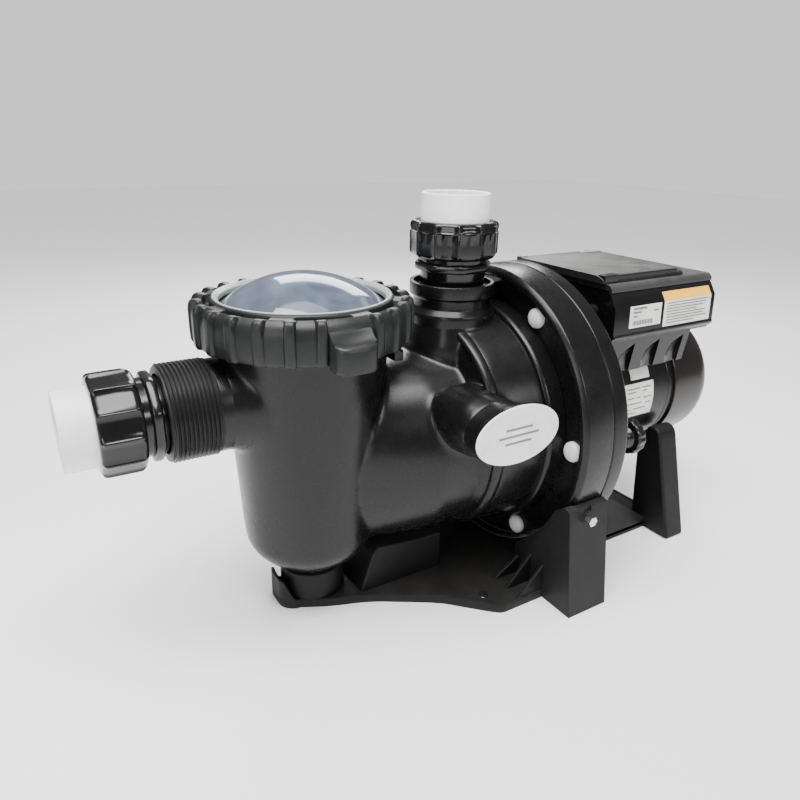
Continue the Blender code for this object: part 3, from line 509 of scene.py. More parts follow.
def makeHousing():
    volute = lathe("volute", soften([(0, -0.112), (0.104, -0.112, 0.004), (0.118, -0.106, 0.006),
                                     (0.1275, -0.012), (0, -0.012)], 0.002), shaftPlace)
    horn = skin("horn", hornRings(0))
    pot = lathe("pot", soften([(0, 0.0395), (0.028, 0.0395), (0.042, 0.0495), (0.054, 0.059),
                               (0.062, 0.068), (0.0667, 0.078), (0.0685, 0.099), (0.0726, 0.175),
                               (0.0765, 0.240), (0.080, 0.288), (0.0885, 0.292), (0.0885, 0.308),
                               (0, 0.308)], 0.006), potPlace)
    root = lathe("root", [(0, -0.14), (0.054, -0.14), (0.050, -0.075), (0.044, -0.058), (0.043, -0.050),
                          (0, -0.050)], inletPlace)
    saddle = lathe("saddle", [(0, -0.14), (0.060, -0.14), (0.052, -0.060), (0.047, -0.045), (0.0455, -0.036),
                              (0, -0.036)], outletPlace)
    stem = skin("stem", [ovalRing(-0.070, 0.033, 0.031, -0.128), ovalRing(-0.092, 0.0335, 0.0315, -0.128),
                         ovalRing(-0.112, 0.034, 0.032, -0.128), ovalRing(-0.130, 0.0385, 0.0288, -0.121)])
    body = merge("housing_shell", volute, horn, pot, root, saddle, stem)
    body.modifiers.clear()
    remesh = body.modifiers.new("remesh", "REMESH")
    remesh.mode = "VOXEL"
    remesh.voxel_size = housing["voxel"] * 1
    smooth = body.modifiers.new("smooth", "SMOOTH")
    smooth.factor = 0.5
    smooth.iterations = housing["blendPasses"]
    applied(body)
    print("housing blended", len(body.data.polygons))
    potRoom = lathe("potRoom", [(0, 0.047), (0.022, 0.047), (0.037, 0.0555), (0.049, 0.065),
                                (0.057, 0.0735), (0.0617, 0.083), (0.0635, 0.099), (0.0676, 0.175),
                                (0.0715, 0.240), (0.0735, 0.300), (0.0785, 0.3001), (0.0785, 0.34),
                                (0, 0.34)], potPlace)
    inletRoom = rod("inletRoom", 0.036, -0.145, 0.02, inletPlace, 64)
    outletRoom = rod("outletRoom", 0.034, -0.12, 0.02, outletPlace, 64)
    chamber = lathe("chamber", [(0, -0.104), (0.098, -0.104), (0.108, -0.098), (0.1185, -0.031),
                                (0.1185, 0.01), (0, 0.01)], shaftPlace)
    hornRoom = skin("hornRoom", hornRings(-0.006))
    carve(body, potRoom, inletRoom, outletRoom, hornRoom, chamber)
    shaded(body, 45)
    dress(body, "body", "pump_body", "body_plastic", "housing")

    flange = lathe("housing_flange", soften([(0.1190, -0.0305), (0.1290, -0.0300), (0.1525, -0.0305),
                                             (0.1545, -0.0375), (0.1560, -0.0388), (0.1610, -0.0388),
                                             (0.1650, -0.0350), (0.1650, -0.0012), (0.1636, -0.0003),
                                             (0.1190, -0.0003)], 0.0012), shaftPlace, 192)
    dress(flange, "body", "pump_body", "body_plastic")
    bead = lathe("housing_bead", soften([(0.108, -0.108), (0.1135, -0.1125), (0.1178, -0.1105),
                                         (0.1192, -0.1055), (0.1185, -0.1000), (0.108, -0.1000)], 0.003),
                 shaftPlace, 144)
    dress(bead, "body", "pump_body", "body_plastic")
    step = lathe("housing_step", soften([(0.1190, -0.0530), (0.1270, -0.0525), (0.1288, -0.0490),
                                         (0.1290, -0.0300), (0.1190, -0.0300)], 0.0015), shaftPlace, 144)
    dress(step, "body", "pump_body", "body_plastic")
    rim = lathe("pot_rim", soften([(0.0790, 0.2870), (0.0905, 0.2900), (0.0905, 0.3140), (0.0866, 0.3140),
                                   (0.0866, 0.3100), (0.0814, 0.3100), (0.0814, 0.3140), (0.0785, 0.3140),
                                   (0.0785, 0.3000), (0.0737, 0.3000), (0.0737, 0.2900)], 0.0008), potPlace,
                144)
    dress(rim, "body", "pump_body", "body_plastic")
    collar = lathe("outlet_collar", soften([(0.0342, -0.0700), (0.0462, -0.0700), (0.0462, -0.0330),
                                            (0.0455, -0.0300), (0.0408, -0.0245), (0.0406, -0.0155),
                                            (0.0420, -0.0140), (0.0447, -0.0129), (0.0447, -0.0006),
                                            (0.0437, 0.0), (0.0400, 0.0), (0.0400, -0.0060),
                                            (0.0342, -0.0060)], 0.0008), outletPlace, 128)
    dress(collar, "body", "pump_body", "body_plastic")
    neck = lathe("inlet_neck", soften([(0.0362, -0.110), (0.0430, -0.110), (0.0430, -0.0435),
                                       (0.0362, -0.0435)], 0.0006), inletPlace, 96)
    dress(neck, "body", "pump_body", "body_plastic")
    flare = skin("badge_flare", [ovalRing(-0.126, 0.0370, 0.0290, -0.1225, 96),
                                 ovalRing(-0.1325, 0.0400, 0.0287, -0.1195, 96),
                                 ovalRing(-0.1385, 0.0450, 0.0292, -0.1150, 96),
                                 ovalRing(-0.1418, 0.0485, 0.0298, -0.1124, 96),
                                 ovalRing(-0.1434, 0.0497, 0.0300, -0.1112, 96),
                                 ovalRing(-0.1445, 0.0499, 0.0300, -0.111, 96)])
    dress(flare, "body", "pump_body", "body_plastic")
    rib = rounded(block("outlet_rib", (xAt(-0.062), -0.004, 0.270), (xAt(-0.030), 0.004, 0.318)), 0.0015)
    lug = rounded(block("pot_lug", (potX + 0.062, -0.0640, 0.270), (potX + 0.072, -0.040, 0.281)), 0.002)
    for piece in (rib, lug):
        dress(piece, "body", "pump_body", "body_plastic")
    for label, station, z, start, end in (("pot_drain_boss", -0.259, 0.100, 0.045, 0.0740),
                                          ("volute_drain_boss", -0.070, 0.078, 0.070, 0.0920)):
        place = Matrix.Translation((xAt(station), 0, z)) @ Matrix.Rotation(-pi / 2, 4, "X")
        boss = lathe(label, soften([(0.0086, start), (0.016, start), (0.0130, start + 0.010), (0.0130, end),
                                    (0.0086, end)], 0.0012), place, 48)
        dress(boss, "body", "pump_body", "body_plastic")


makeHousing()
print("housing done")

# threads
thread = dict(pitch=0.0037, root=0.0424, crest=0.0447)


def threaded(name, place, start, end, root, crest, bore, pitch, steps=72, perTurn=8):
    rows = int((end - start) / pitch * perTurn)
    rings = [[(bore * cos(2 * pi * i / steps), bore * sin(2 * pi * i / steps), start) for i in range(steps)]]
    for row in range(rows + 1):
        height = start + (end - start) * row / rows
        fade = min(1, (height - start) / (0.6 * pitch), (end - height) / (0.6 * pitch))
        ring = []
        for index in range(steps):
            turn = 2 * pi * index / steps
            phase = ((height - start) / pitch - turn / (2 * pi)) % 1
            lift = bump(phase - 0.5, 0.08, 0.30) * fade
            radius = root + (crest - root) * lift
            ring.append((radius * cos(turn), radius * sin(turn), height))
        rings.append(ring)
    rings.append([(bore * cos(2 * pi * i / steps), bore * sin(2 * pi * i / steps), end)
                  for i in range(steps)])
    return skin(name, rings, place, True, 60)


inletThread = threaded("inlet_thread", inletPlace, -0.0440, 0.0, thread["root"], thread["crest"], 0.0361,
                       thread["pitch"])
dress(inletThread, "thread", "pump_body", "body_plastic")

# unions
union = dict(facets=12, ridge=0.0011)


# ring nut with flat facets, thin ridges between them and rounded shoulders
def makeNut(name, place, start, end, body, band):
    fractions = (0.0, 0.025, 0.05, 0.08, 0.30, 0.50, 0.70, 0.92, 0.95, 0.975)
    count = union["facets"]
    half = pi / count
    length = end - start
    rows = [(0.0376, start, 0), (0.0405, start, 0), (0.0424, start + 0.0012, 0.5),
            (0.0440, start + 0.0040, 1), (0.0442, start + 0.0060, 1), (0.0442, start + length * 0.40, 1),
            (0.0442, start + length * 0.70, 1), (0.0444, start + length * 0.72, 0.2),
            (0.0446, start + length * 0.745, 0.0), (0.0443, start + length * 0.765, 0.3),
            (0.0440, start + length * 0.79, 1), (0.0440, end - 0.0050, 1), (0.0436, end - 0.0030, 1),
            (0.0425, end - 0.0012, 0.8), (0.0408, end - 0.0002, 0.3), (0.0395, end, 0), (0.0354, end, 0),
            (0.0354, end - 0.0060, 0), (0.0376, end - 0.0060, 0)]
    if not band:
        rows = [row for row in rows if not 0.70 < (row[1] - start) / length < 0.80]
    rings = []
    for radius, height, share in rows:
        ring = []
        for facet in range(count):
            for fraction in fractions:
                turn = (facet + fraction) * 2 * half
                flat = cos(half) / cos((fraction - 0.5) * 2 * half) * 1.008
                away = min(fraction, 1 - fraction)
                r = radius * (1 + share * (flat - 1)) + share * union["ridge"] * bump(away, 0.03, 0.05)
                ring.append((r * cos(turn), r * sin(turn), height))
        rings.append(ring)
    nut = skin(name, rings, place, True, 50)
    return dress(nut, "union", body, "union_plastic", name.replace("_shell", ""))


def makeUnion(prefix, place, flange, nutStart, nutEnd, tailEnd, spanR, band):
    makeNut(prefix + "_nut_shell", place, nutStart, nutEnd, prefix + "_nut", band)
    threadEnd = nutStart + 0.018
    stub = lathe(prefix + "_stub", soften([(0.0262, -0.020), (0.0335, -0.020), (0.0335, flange[0] + 0.001),
                                           (0.0350, flange[0] + 0.002), (0.0350, nutStart + 0.0005),
                                           (0.0370, nutStart + 0.0015), (0.0370, threadEnd),
                                           (0.0262, threadEnd)], 0.0006), place, 96)
    dress(stub, "union", "pump_body", "union_plastic", prefix + "_adapter")
    ring = []
    rows = ((0.030, flange[0]), (spanR - 0.0030, flange[0]), (spanR - 0.0008, flange[0] + 0.0009),
            (spanR, flange[0] + 0.0022), (spanR, flange[1] - 0.0022), (spanR - 0.0008, flange[1] - 0.0009),
            (spanR - 0.0030, flange[1]), (0.030, flange[1]))
    for radius, height in rows:
        points = []
        for side in range(8):
            for fraction in (0.0, 0.06, 0.25, 0.5, 0.75, 0.94):
                turn = (side + fraction) * pi / 4 + pi / 8
                flat = cos(pi / 8) / cos((fraction - 0.5) * pi / 4) * 1.03
                r = radius * min(flat, 1.0) if radius > 0.031 else radius
                points.append((r * cos(turn), r * sin(turn), height))
        ring.append(points)
    octagon = skin(prefix + "_octagon", ring, place, True, 50)
    dress(octagon, "union", "pump_body", "union_plastic")
    foot = threadEnd + 0.0034
    lip = nutEnd - 0.0060
    tail = lathe(prefix + "_pipe_tail", soften([(0.0265, foot), (0.0370, foot), (0.0370, lip - 0.0003),
                                                (0.0350, lip - 0.0003), (0.0350, tailEnd, 0.0012),
                                                (0.0302, tailEnd, 0.0015), (0.0302, foot + 0.004),
                                                (0.0265, foot + 0.004)], 0.0008), place, 128)
    dress(tail, "white", prefix + "_tail", "white_pipe", prefix + "_tail")


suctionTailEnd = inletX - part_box("suction_tail")[0].x
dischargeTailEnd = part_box("discharge_tail")[1].z - portZ
makeUnion("suction", inletPlace, (0.0040, 0.0135), 0.0195, 0.0560, suctionTailEnd, 0.0400, False)
makeUnion("discharge", outletPlace, (0.0115, 0.0205), 0.0250, 0.0611, dischargeTailEnd, 0.0400, True)
print("unions done")

# lock ring
lockRing = dict(ribs=24, ribHalf=0.0036, ribSoft=0.0018, slots=8, slotHalf=0.26, slotDepth=0.0085)


def makeLockRing():
    steps = 24 * 20
    panel = [(0.0912, 0.2881), (0.0970, 0.2880), (0.0992, 0.2892), (0.1000, 0.2920), (0.1003, 0.3000),
             (0.1002, 0.3080), (0.0996, 0.3140), (0.0984, 0.3182), (0.0964, 0.3214), (0.0942, 0.3238),
             (0.0924, 0.3252), (0.0912, 0.3260)]
    rib = [(0.0912, 0.2881), (0.0985, 0.2880), (0.1016, 0.2888), (0.1030, 0.2915), (0.1035, 0.3000),
           (0.1035, 0.3120), (0.1034, 0.3190), (0.1026, 0.3235), (0.1008, 0.3262), (0.0985, 0.3272),
           (0.0950, 0.3272), (0.0912, 0.3262)]
    crown = [(0.0908, 0.3261, 0.15), (0.0905, 0.3261, 1), (0.0848, 0.3266, 1), (0.0845, 0.3267, 0.15),
             (0.0841, 0.3268, 0), (0.0835, 0.3276, 0), (0.0818, 0.3280, 0), (0.0800, 0.3276, 0),
             (0.0791, 0.3264, 0), (0.0790, 0.3184, 0), (0.0912, 0.3184, 0)]
    rows = [(a, b, 0) for a, b in zip(panel, rib)] + [((r, h), (r, h), deep) for r, h, deep in crown]
    rings = []
    for flat, raised, deep in rows:
        ring = []
        for index in range(steps):
            turn = 2 * pi * index / steps
            pitch = 2 * pi / lockRing["ribs"]
            away = ((turn / pitch + 0.5) % 1 - 0.5) * pitch * 0.1
            share = bump(away, lockRing["ribHalf"], lockRing["ribSoft"])
            share *= 1 - bump(abs(cos(turn)), 0.20, 0.03)
            spacing = 2 * pi / lockRing["slots"]
            gap = (((turn + 0.22) / spacing + 0.5) % 1 - 0.5) * spacing
            r = flat[0] + (raised[0] - flat[0]) * share
            drop = deep * lockRing["slotDepth"] * bump(gap, lockRing["slotHalf"], 0.02)
            h = flat[1] + (raised[1] - flat[1]) * share - drop
            ring.append((r * cos(turn), r * sin(turn), h))
        rings.append(ring)
    ring = skin("lock_ring_shell", rings, potPlace, True, 55)
    dress(ring, "ring", "lock_ring", "ring_plastic", "lock_ring")
    for side, name in ((-1, "lock_tab_front"), (1, "lock_tab_back")):
        sections = []
        for share, reach, low in ((0, 0.1115, 0.2860), (0.06, 0.1150, 0.2845), (0.14, 0.1172, 0.2840),
                                  (0.30, 0.1178, 0.2838), (0.50, 0.1180, 0.2838), (0.70, 0.1178, 0.2838),
                                  (0.86, 0.1172, 0.2840), (0.94, 0.1150, 0.2845), (1.0, 0.1115, 0.2860)):
            x = potX - 0.021 + 0.038 * share
            scoop = 0.0030 * sin(pi * share)
            line = [(0.098, low), (reach - 0.003, low), (reach - 0.0008, low + 0.0010),
                    (reach, low + 0.0035), (reach, 0.3035), (reach - 0.0008, 0.3062),
                    (reach - 0.0030, 0.3078), (0.1095, 0.3092 - scoop * 0.6), (0.1045, 0.3120 - scoop),
                    (0.1010, 0.3155 - scoop * 0.5), (0.098, 0.3175)]
            sections.append([(x, side * y, z) for y, z in line])
        tab = skin(name, sections, None, False, 40)
        dress(tab, "ring", "lock_ring", "ring_plastic")
    trim = lathe("lock_ring_trim", soften([(0.0768, 0.3216), (0.0789, 0.3216), (0.0789, 0.3266),
                                           (0.0822, 0.3278), (0.0822, 0.3290), (0.0808, 0.3294),
                                           (0.0768, 0.3262)], 0.0006), potPlace, 144)
    dress(trim, "trim", "lock_ring", "ring_plastic")


makeLockRing()


# lid
lid = dict(capR=0.076, rise=0.028, wall=0.004, base=0.320)


def makeLid():
    sphere = (lid["capR"] ** 2 + lid["rise"] ** 2) / (2 * lid["rise"])
    outer, inner = [], []
    for index in range(25):
        share = index / 24
        r = lid["capR"] * share
        outer.append((r, lid["base"] + sqrt(sphere ** 2 - r ** 2) - (sphere - lid["rise"])))
        r = (lid["capR"] - lid["wall"]) * share
        inner.append((r, lid["base"] + sqrt((sphere - lid["wall"]) ** 2 - r ** 2) - (sphere - lid["rise"])))
    rim = soften([(0.0760, 0.3200), (0.0772, 0.3181), (0.0875, 0.3181), (0.0875, 0.3145), (0.0725, 0.3145),
                  (0.0720, 0.3165)], 0.0008, 2)
    dome = lathe("lid_dome_shell", outer[:-1] + rim + inner[::-1][1:], potPlace, 128)
    dress(dome, "clear", "lid", "clear_lid", "lid_dome")


makeLid()

# basket
basket = dict(columns=108, rows=44, low=0.0735, high=0.2985, slotWidth=2, slotEvery=4, wall=0.0016)


def makeBasket():
    columns, rows = basket["columns"], basket["rows"]
    points, faces = [], []
    for row in range(rows + 1):
        z = basket["low"] + (basket["high"] - basket["low"]) * row / rows
        radius = 0.0478 + (0.0688 - 0.0478) * row / rows
        for column in range(columns):
            turn = 2 * pi * column / columns
            points.append((potX + radius * cos(turn), radius * sin(turn), z))
    for row in range(rows):
        z = basket["low"] + (basket["high"] - basket["low"]) * (row + 0.5) / rows
        for column in range(columns):
            y = 0.060 * sin(2 * pi * (column + 0.5) / columns)
            mouth = cos(2 * pi * (column + 0.5) / columns) < 0 and hypot(y, z - inletZ) < 0.034
            slot = column % basket["slotEvery"] < basket["slotWidth"] and row % 7 > 0 and row < 41
            if mouth or slot:
                continue
            after = (column + 1) % columns
            faces.append((row * columns + column, row * columns + after, (row + 1) * columns + after,
                          (row + 1) * columns + column))
    start = len(points)
    for ring in range(1, 9):
        radius = 0.0478 * ring / 8
        for column in range(columns):
            turn = 2 * pi * column / columns
            points.append((potX + radius * cos(turn), radius * sin(turn), basket["low"]))
    points.append((potX, 0, basket["low"]))
    for ring in range(7):
        for column in range(columns):
            if ring in (2, 4, 5) and column % 9 > 2:
                continue
            after = (column + 1) % columns
            first, second = start + ring * columns, start + (ring + 1) * columns
            faces.append((first + column, first + after, second + after, second + column))
    for column in range(columns):
        faces.append((len(points) - 1, start + column, start + (column + 1) % columns))
    cup = meshFrom("basket_cup", points, faces, 60)
    thick = cup.modifiers.new("wall", "SOLIDIFY")
    thick.thickness = basket["wall"]
    thick.offset = 0
    dress(cup, "basket", "basket", "basket_plastic", "strainer_basket")
    rim = lathe("basket_rim", soften([(0.0670, 0.2960), (0.0695, 0.2960), (0.0705, 0.3003), (0.0775, 0.3003),
                                      (0.0775, 0.3033), (0.0665, 0.3033)], 0.0008), potPlace, 96)
    dress(rim, "basket", "basket", "basket_plastic")
    rings = []
    for index in range(33):
        turn = pi * index / 32
        middle = Vector((potX, -0.0672 * cos(turn), 0.302 + 0.031 * sin(turn)))
        along = Vector((0, 0.0672 * sin(turn), 0.031 * cos(turn))).normalized()
        side = Vector((1, 0, 0))
        up = side.cross(along)
        rings.append([middle + 0.005 * a * side + 0.0018 * b * up for a, b in ((1, 0.4), (0.7, 1),
                (-0.7, 1), (-1, 0.4), (-1, -0.4), (-0.7, -1), (0.7, -1), (1, -0.4))])
    handle = skin("basket_handle", rings, None, False, 40)
    dress(handle, "basket", "basket", "basket_plastic")


makeBasket()
print("lid, ring and basket done")

# seal plate, bolts and knobs
bolts = dict(circle=0.141, count=6, lobes=14, wide=(2, 5))


def makeSealPlate():
    plate = lathe("seal_plate_disc", soften([(0.0115, 0.0070), (0.0178, 0.0070), (0.0178, 0.0),
                                             (0.1636, 0.0), (0.1650, 0.0012), (0.1650, 0.0185),
                                             (0.1622, 0.0223), (0.0900, 0.0223), (0.0860, 0.0180),
                                             (0.0110, 0.0180)], 0.0010), shaftPlace, 192)
    dress(plate, "body", "pump_body", "body_plastic", "seal_plate")
    for number in range(1, bolts["count"] + 1):
        angle = radians(30 + 60 * (number - 1))
        y, z = -bolts["circle"] * sin(angle), shaftZ + bolts["circle"] * cos(angle)
        place = Matrix.Translation((seamX, y, z)) @ Matrix.Rotation(pi / 2, 4, "Y")
        cap = [(0, -0.0385)] + [(0.0106 * sin(radians(t)), -0.0325 - 0.0060 * cos(radians(t)))
                                for t in range(10, 91, 10)]
        bolt = lathe(f"bolt_cap_{number}", cap + [(0.0106, -0.0305), (0.0040, -0.0305), (0.0040, 0.0470),
                                                  (0, 0.0470)], place, 40)
        dress(bolt, "cap", "pump_body", "bolt_cap", f"flange_bolt_{number}")

        def lobed(radius, height, turn):
            if radius < 0.015:
                return radius, height
            return radius - 0.0011 * (0.5 + 0.5 * cos(bolts["lobes"] * turn)) ** 2, height
        if number not in bolts["wide"]:
            nut = lathe(f"cap_nut_{number}", soften([(0, 0.0500), (0.0045, 0.0500), (0.0045, 0.0226),
                                                     (0.0095, 0.0226), (0.0095, 0.0330), (0.0065, 0.0340),
                                                     (0.0065, 0.0500), (0.0050, 0.0520), (0, 0.0530)],
                                                    0.0005), place, 48)
            dress(nut, "knob", f"knob_{number}", "knob_plastic", f"flange_knob_{number}")
            continue
        knob = lathe(f"hand_knob_{number}", soften([(0, 0.0500), (0.0045, 0.0500), (0.0045, 0.0226),
                                                    (0.0090, 0.0226), (0.0100, 0.0400), (0.0125, 0.0445),
                                                    (0.0185, 0.0452), (0.0195, 0.0470), (0.0195, 0.0545),
                                                    (0.0180, 0.0560), (0.0120, 0.0560), (0.0100, 0.0545),
                                                    (0, 0.0545)], 0.0010), place, 112, lobed, 50)
        dress(knob, "knob", f"knob_{number}", "knob_plastic", f"flange_knob_{number}")


makeSealPlate()
print("seal plate done")


# badge
badge = dict(station=-0.111, bars=((0.0, 0.2170, 0.0160), (0.0, 0.2100, 0.0240), (0.0, 0.2030, 0.0160)))


def makeBadge():
    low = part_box("badge")[0]
    rows = [(-0.1446, 0.0490, 0.0290), (-0.1452, 0.0495, 0.0295), (-0.1460, 0.0495, 0.0295),
            (-0.1466, 0.0490, 0.0290), (-0.1468, 0.0480, 0.0280), (-0.1465, 0.0468, 0.0268),
            (-0.1464, 0.0440, 0.0245), (-0.1464, 0.0200, 0.0110)]
    plate = skin("badge_plate", [ovalRing(y, a, b, badge["station"], 96) for y, a, b in rows])
    dress(plate, "badge", "pump_body", "badge_white", "badge")
    middle = xAt(badge["station"])
    face = low.y + 0.00015
    bars = []
    for offset, z, halfLength in badge["bars"]:
        bars.append(block("bar", (middle + offset - halfLength, face, z - 0.0011),
                          (middle + offset + halfLength, face + 0.0006, z + 0.0011)))
    dress(merge("badge_bars", *bars), "greyInk", "pump_body", "badge_white")


makeBadge()


# motor
motor = dict(radius=0.0805, bell=0.0835)


def makeMotor():
    bracket = lathe("bracket_ring", soften([(0.0120, 0.0430), (0.0690, 0.0430), (0.0690, 0.0226),
                                            (0.0740, 0.0226), (0.0805, 0.0300), (0.0805, 0.0597),
                                            (0.0202, 0.0597), (0.0202, 0.0470), (0.0120, 0.0470)], 0.0010),
                    shaftPlace, 128)
    dress(bracket, "castAluminium", "pump_body", "cast_aluminium", "motor_bracket")
    shell = lathe("shell_tube", soften([(0.0772, 0.0600), (0.0805, 0.0600), (0.0805, 0.0680),
                                        (0.0800, 0.0690), (0.0800, 0.1900), (0.0805, 0.1910),
                                        (0.0805, 0.1997), (0.0772, 0.1997)], 0.0004), shaftPlace, 128)
    dress(shell, "paint", "pump_body", "motor_paint", "motor_shell")
    bell = lathe("bell_cap", soften([(0.0202, 0.2000), (0.0835, 0.2000, 0.0015), (0.0835, 0.2530, 0.006),
                                     (0.0800, 0.2640, 0.006), (0.0680, 0.2710, 0.006), (0.0120, 0.2710),
                                     (0.0120, 0.2680), (0.0660, 0.2680), (0.0770, 0.2620), (0.0800, 0.2520),
                                     (0.0800, 0.2125), (0.0202, 0.2125)], 0.0008, 5), shaftPlace, 160)
    for ray in range(6):
        for offset in (-0.011, 0.0, 0.011):
            slot = block("vent", (xAt(0.2600), offset - 0.0022, 0.0240),
                         (xAt(0.2780), offset + 0.0022, 0.0600))
            spin = Matrix.Rotation(2 * pi * (ray + 0.5) / 6, 4, "X")
            slot.data.transform(Matrix.Translation((0, 0, shaftZ)) @ spin)
            carve(bell, slot)
    dress(bell, "bell", "pump_body", "motor_paint", "end_bell")
    heads = []
    for turn in (40, 140, 220, 320):
        out = Vector((0, cos(radians(turn)), sin(radians(turn))))
        place = (Matrix.Translation(Vector((xAt(0.2065), 0, shaftZ)) + out * motor["bell"])
                 @ out.to_track_quat("Z", "Y").to_matrix().to_4x4())
        heads.append(lathe("head", soften([(0, -0.003), (0.0042, -0.003), (0.0042, 0.0022),
                                           (0.0030, 0.0033), (0.0012, 0.0033), (0.0010, 0.0024),
                                           (0, 0.0024)], 0.0005), place, 24))
    dress(merge("bell_screws", *heads), "paint", "pump_body", "steel")
    for name, finish, start, end, low, high, lift in (("motor_label", "label", 0.1120, 0.1620, 162, 192,
                                                       0.0006), ("motor_card", "label", 0.1240, 0.1560, 149,
                                                                 159, 0.0006)):
        inner = arc(motor["radius"] - 0.0002, low, high, 24, (0, shaftZ))
        outer = arc(motor["radius"] + lift, high, low, 24, (0, shaftZ))
        plate = rounded(prism(name, inner + outer, xAt(start), xAt(end), "X"), 0.0002, 1)
        if name == "motor_label":
            dress(plate, finish, "pump_body", "label", "motor_nameplate")
        else:
            dress(plate, finish, "pump_body", "label")
    marks = []
    for index, (start, end, turn) in enumerate(((0.116, 0.138, 166), (0.116, 0.131, 169),
                                                (0.142, 0.156, 166), (0.142, 0.150, 169),
                                                (0.116, 0.128, 174), (0.132, 0.139, 174),
                                                (0.144, 0.158, 175), (0.116, 0.142, 179),
                                                (0.148, 0.158, 180), (0.116, 0.124, 184),
                                                (0.128, 0.150, 184), (0.116, 0.134, 188))):
        line = arc(motor["radius"] + 0.0005, turn, turn + 1.0, 2, (0, shaftZ)) + arc(motor["radius"]
                + 0.0008, turn + 1.0, turn, 2, (0, shaftZ))
        marks.append(prism("mark", line, xAt(start), xAt(end), "X"))
    dress(merge("motor_label_lines", *marks), "greyInk", "pump_body", "label")


makeMotor()
print("motor done")


# drive
drive = dict(start=0.0585, end=0.228, scallops=(0.070, 0.112, 0.154))


def makeDrive():
    side = [(-0.0800, 0.3158), (-0.0845, 0.3125), (-0.0932, 0.2990), (-0.0948, 0.2715), (-0.0952, 0.2690),
            (-0.0952, 0.2650), (-0.0940, 0.2630), (-0.0905, 0.2600), (-0.0850, 0.2200)]
    saddle = arc(0.0813, 144.5, 35.5, 40, (0, shaftZ))
    shell = prism("drive_box", side + saddle + [(-y, z) for y, z in side[::-1]], xAt(drive["start"]),
                  xAt(drive["end"]), "X")
    room = block("room", (xAt(drive["start"] + 0.005), -0.080, 0.2620),
                 (xAt(drive["end"] - 0.005), 0.080, 0.33))
    step = block("step", (xAt(0.1975), -0.12, 0.20), (xAt(0.24), 0.12, 0.2585))
    carve(shell, room, step)
    for mirror in (-1, 1):
        for start in drive["scallops"]:
            rings = []
            for y, grow in ((0.1000, 1.25), (0.0905, 1.0), (0.0865, 0.86), (0.0835, 0.62), (0.0825, 0.35)):
                right, top, low = start + 0.033, 0.2555, 0.2120
                line = [(right, low)]
                for t in range(0, 91, 9):
                    line.append((right - 0.031 * grow * sin(radians(t)),
                                 low + (top - low) * grow * cos(radians(t)) ** 0.8))
                line.append((right - 0.031 * grow, low))
                rings.append([(xAt(s), mirror * y, z) for s, z in line])
            carve(shell, skin("scallop", rings))
    rounded(shell, 0.0016, 3, 35)
    dress(shell, "drive", "pump_body", "drive_plastic", "drive_housing")
    ledge = []
    for mirror in (-1, 1):
        line = [(mirror * 0.0945, 0.2700), (mirror * 0.0968, 0.2680), (mirror * 0.0968, 0.2655),
                (mirror * 0.0940, 0.2640)]
        ledge.append(rounded(prism("ledge", line, xAt(drive["start"] + 0.001), xAt(drive["end"] - 0.001),
                                   "X"), 0.0006, 2))
    dress(merge("drive_ledge", *ledge), "drive", "pump_body", "drive_plastic")

    top = prism("drive_lid", [(-0.0850, 0.3138), (-0.0850, 0.3175), (-0.0815, 0.3212), (-0.0790, 0.3220),
                              (0.0790, 0.3220), (0.0815, 0.3212), (0.0850, 0.3175), (0.0850, 0.3138)],
                xAt(drive["start"]), xAt(drive["end"]), "X")
    well = block("well", (xAt(0.070), -0.055, 0.3192), (xAt(0.172), 0.045, 0.33))
    holes = [rod("hole", 0.0085, 0.30, 0.33, Matrix.Translation((xAt(s), y, 0)), 32)
             for y in (-0.030, 0.010) for s in (0.095, 0.145)]
    carve(top, well, *holes)
    rounded(top, 0.0007, 2, 35)
    dress(top, "cover", "pump_body", "drive_plastic", "drive_top")
    ears = []
    for station in (0.0600, 0.1760):
        ears.append(rounded(block("ear", (xAt(station), 0.0610, 0.3200),
                                  (xAt(station + 0.006), 0.0730, 0.3300)), 0.0012))
    dress(merge("drive_ears", *ears), "drive", "pump_body", "drive_plastic")

    barrel = arc(0.0036, 80, -90, 12, (0.067, 0.3262))
    cover = prism("cover", [(-0.0760, 0.3226), (-0.0748, 0.3256), (-0.0730, 0.3272), (-0.0650, 0.3300),
                            (0.0600, 0.3305)] + barrel, xAt(0.0670), xAt(0.1750), "X")
    wingLine = [(-0.0760, 0.3226), (-0.0748, 0.3256), (-0.0730, 0.3272), (-0.0650, 0.3300),
                (0.0570, 0.3305), (0.0590, 0.3226)]
    wings = [prism("wing", wingLine, xAt(low), xAt(high), "X")
             for low, high in ((0.0540, 0.0680), (0.1740, 0.1850))]
    carve(cover, *wings, operation="UNION")
    under = block("under", (xAt(0.068), -0.060, 0.31), (xAt(0.171), 0.050, 0.3275))
    pinHole = lathe("pinHole", [(0, xAt(0.05)), (0.0021, xAt(0.05)), (0.0021, xAt(0.19)), (0, xAt(0.19))],
                    Matrix(((0, 0, 1, 0), (1, 0, 0, 0.067), (0, 1, 0, 0.3262), (0, 0, 0, 1))), 24)
    carve(cover, under, pinHole)
    rounded(cover, 0.0008, 2, 35)
    dress(cover, "cover", "flip_cover", "cover_plastic", "flip_cover")
    strip = rounded(block("cover_grip", (xAt(0.078), -0.0742, 0.3245), (xAt(0.176), -0.0700, 0.3298)),
                    0.0008, 2)
    latch = rounded(block("cover_latch", (xAt(0.056), -0.0765, 0.3232), (xAt(0.077), -0.0650, 0.3312)),
                    0.0010, 2)
    for piece in (strip, latch):
        dress(piece, "drive", "flip_cover", "cover_plastic")
    clip = rounded(block("cover_clip", (xAt(0.150), 0.0500, 0.3295), (xAt(0.184), 0.0560, 0.3325)), 0.0012,
                   3)
    dress(clip, "trim", "flip_cover", "cover_plastic")

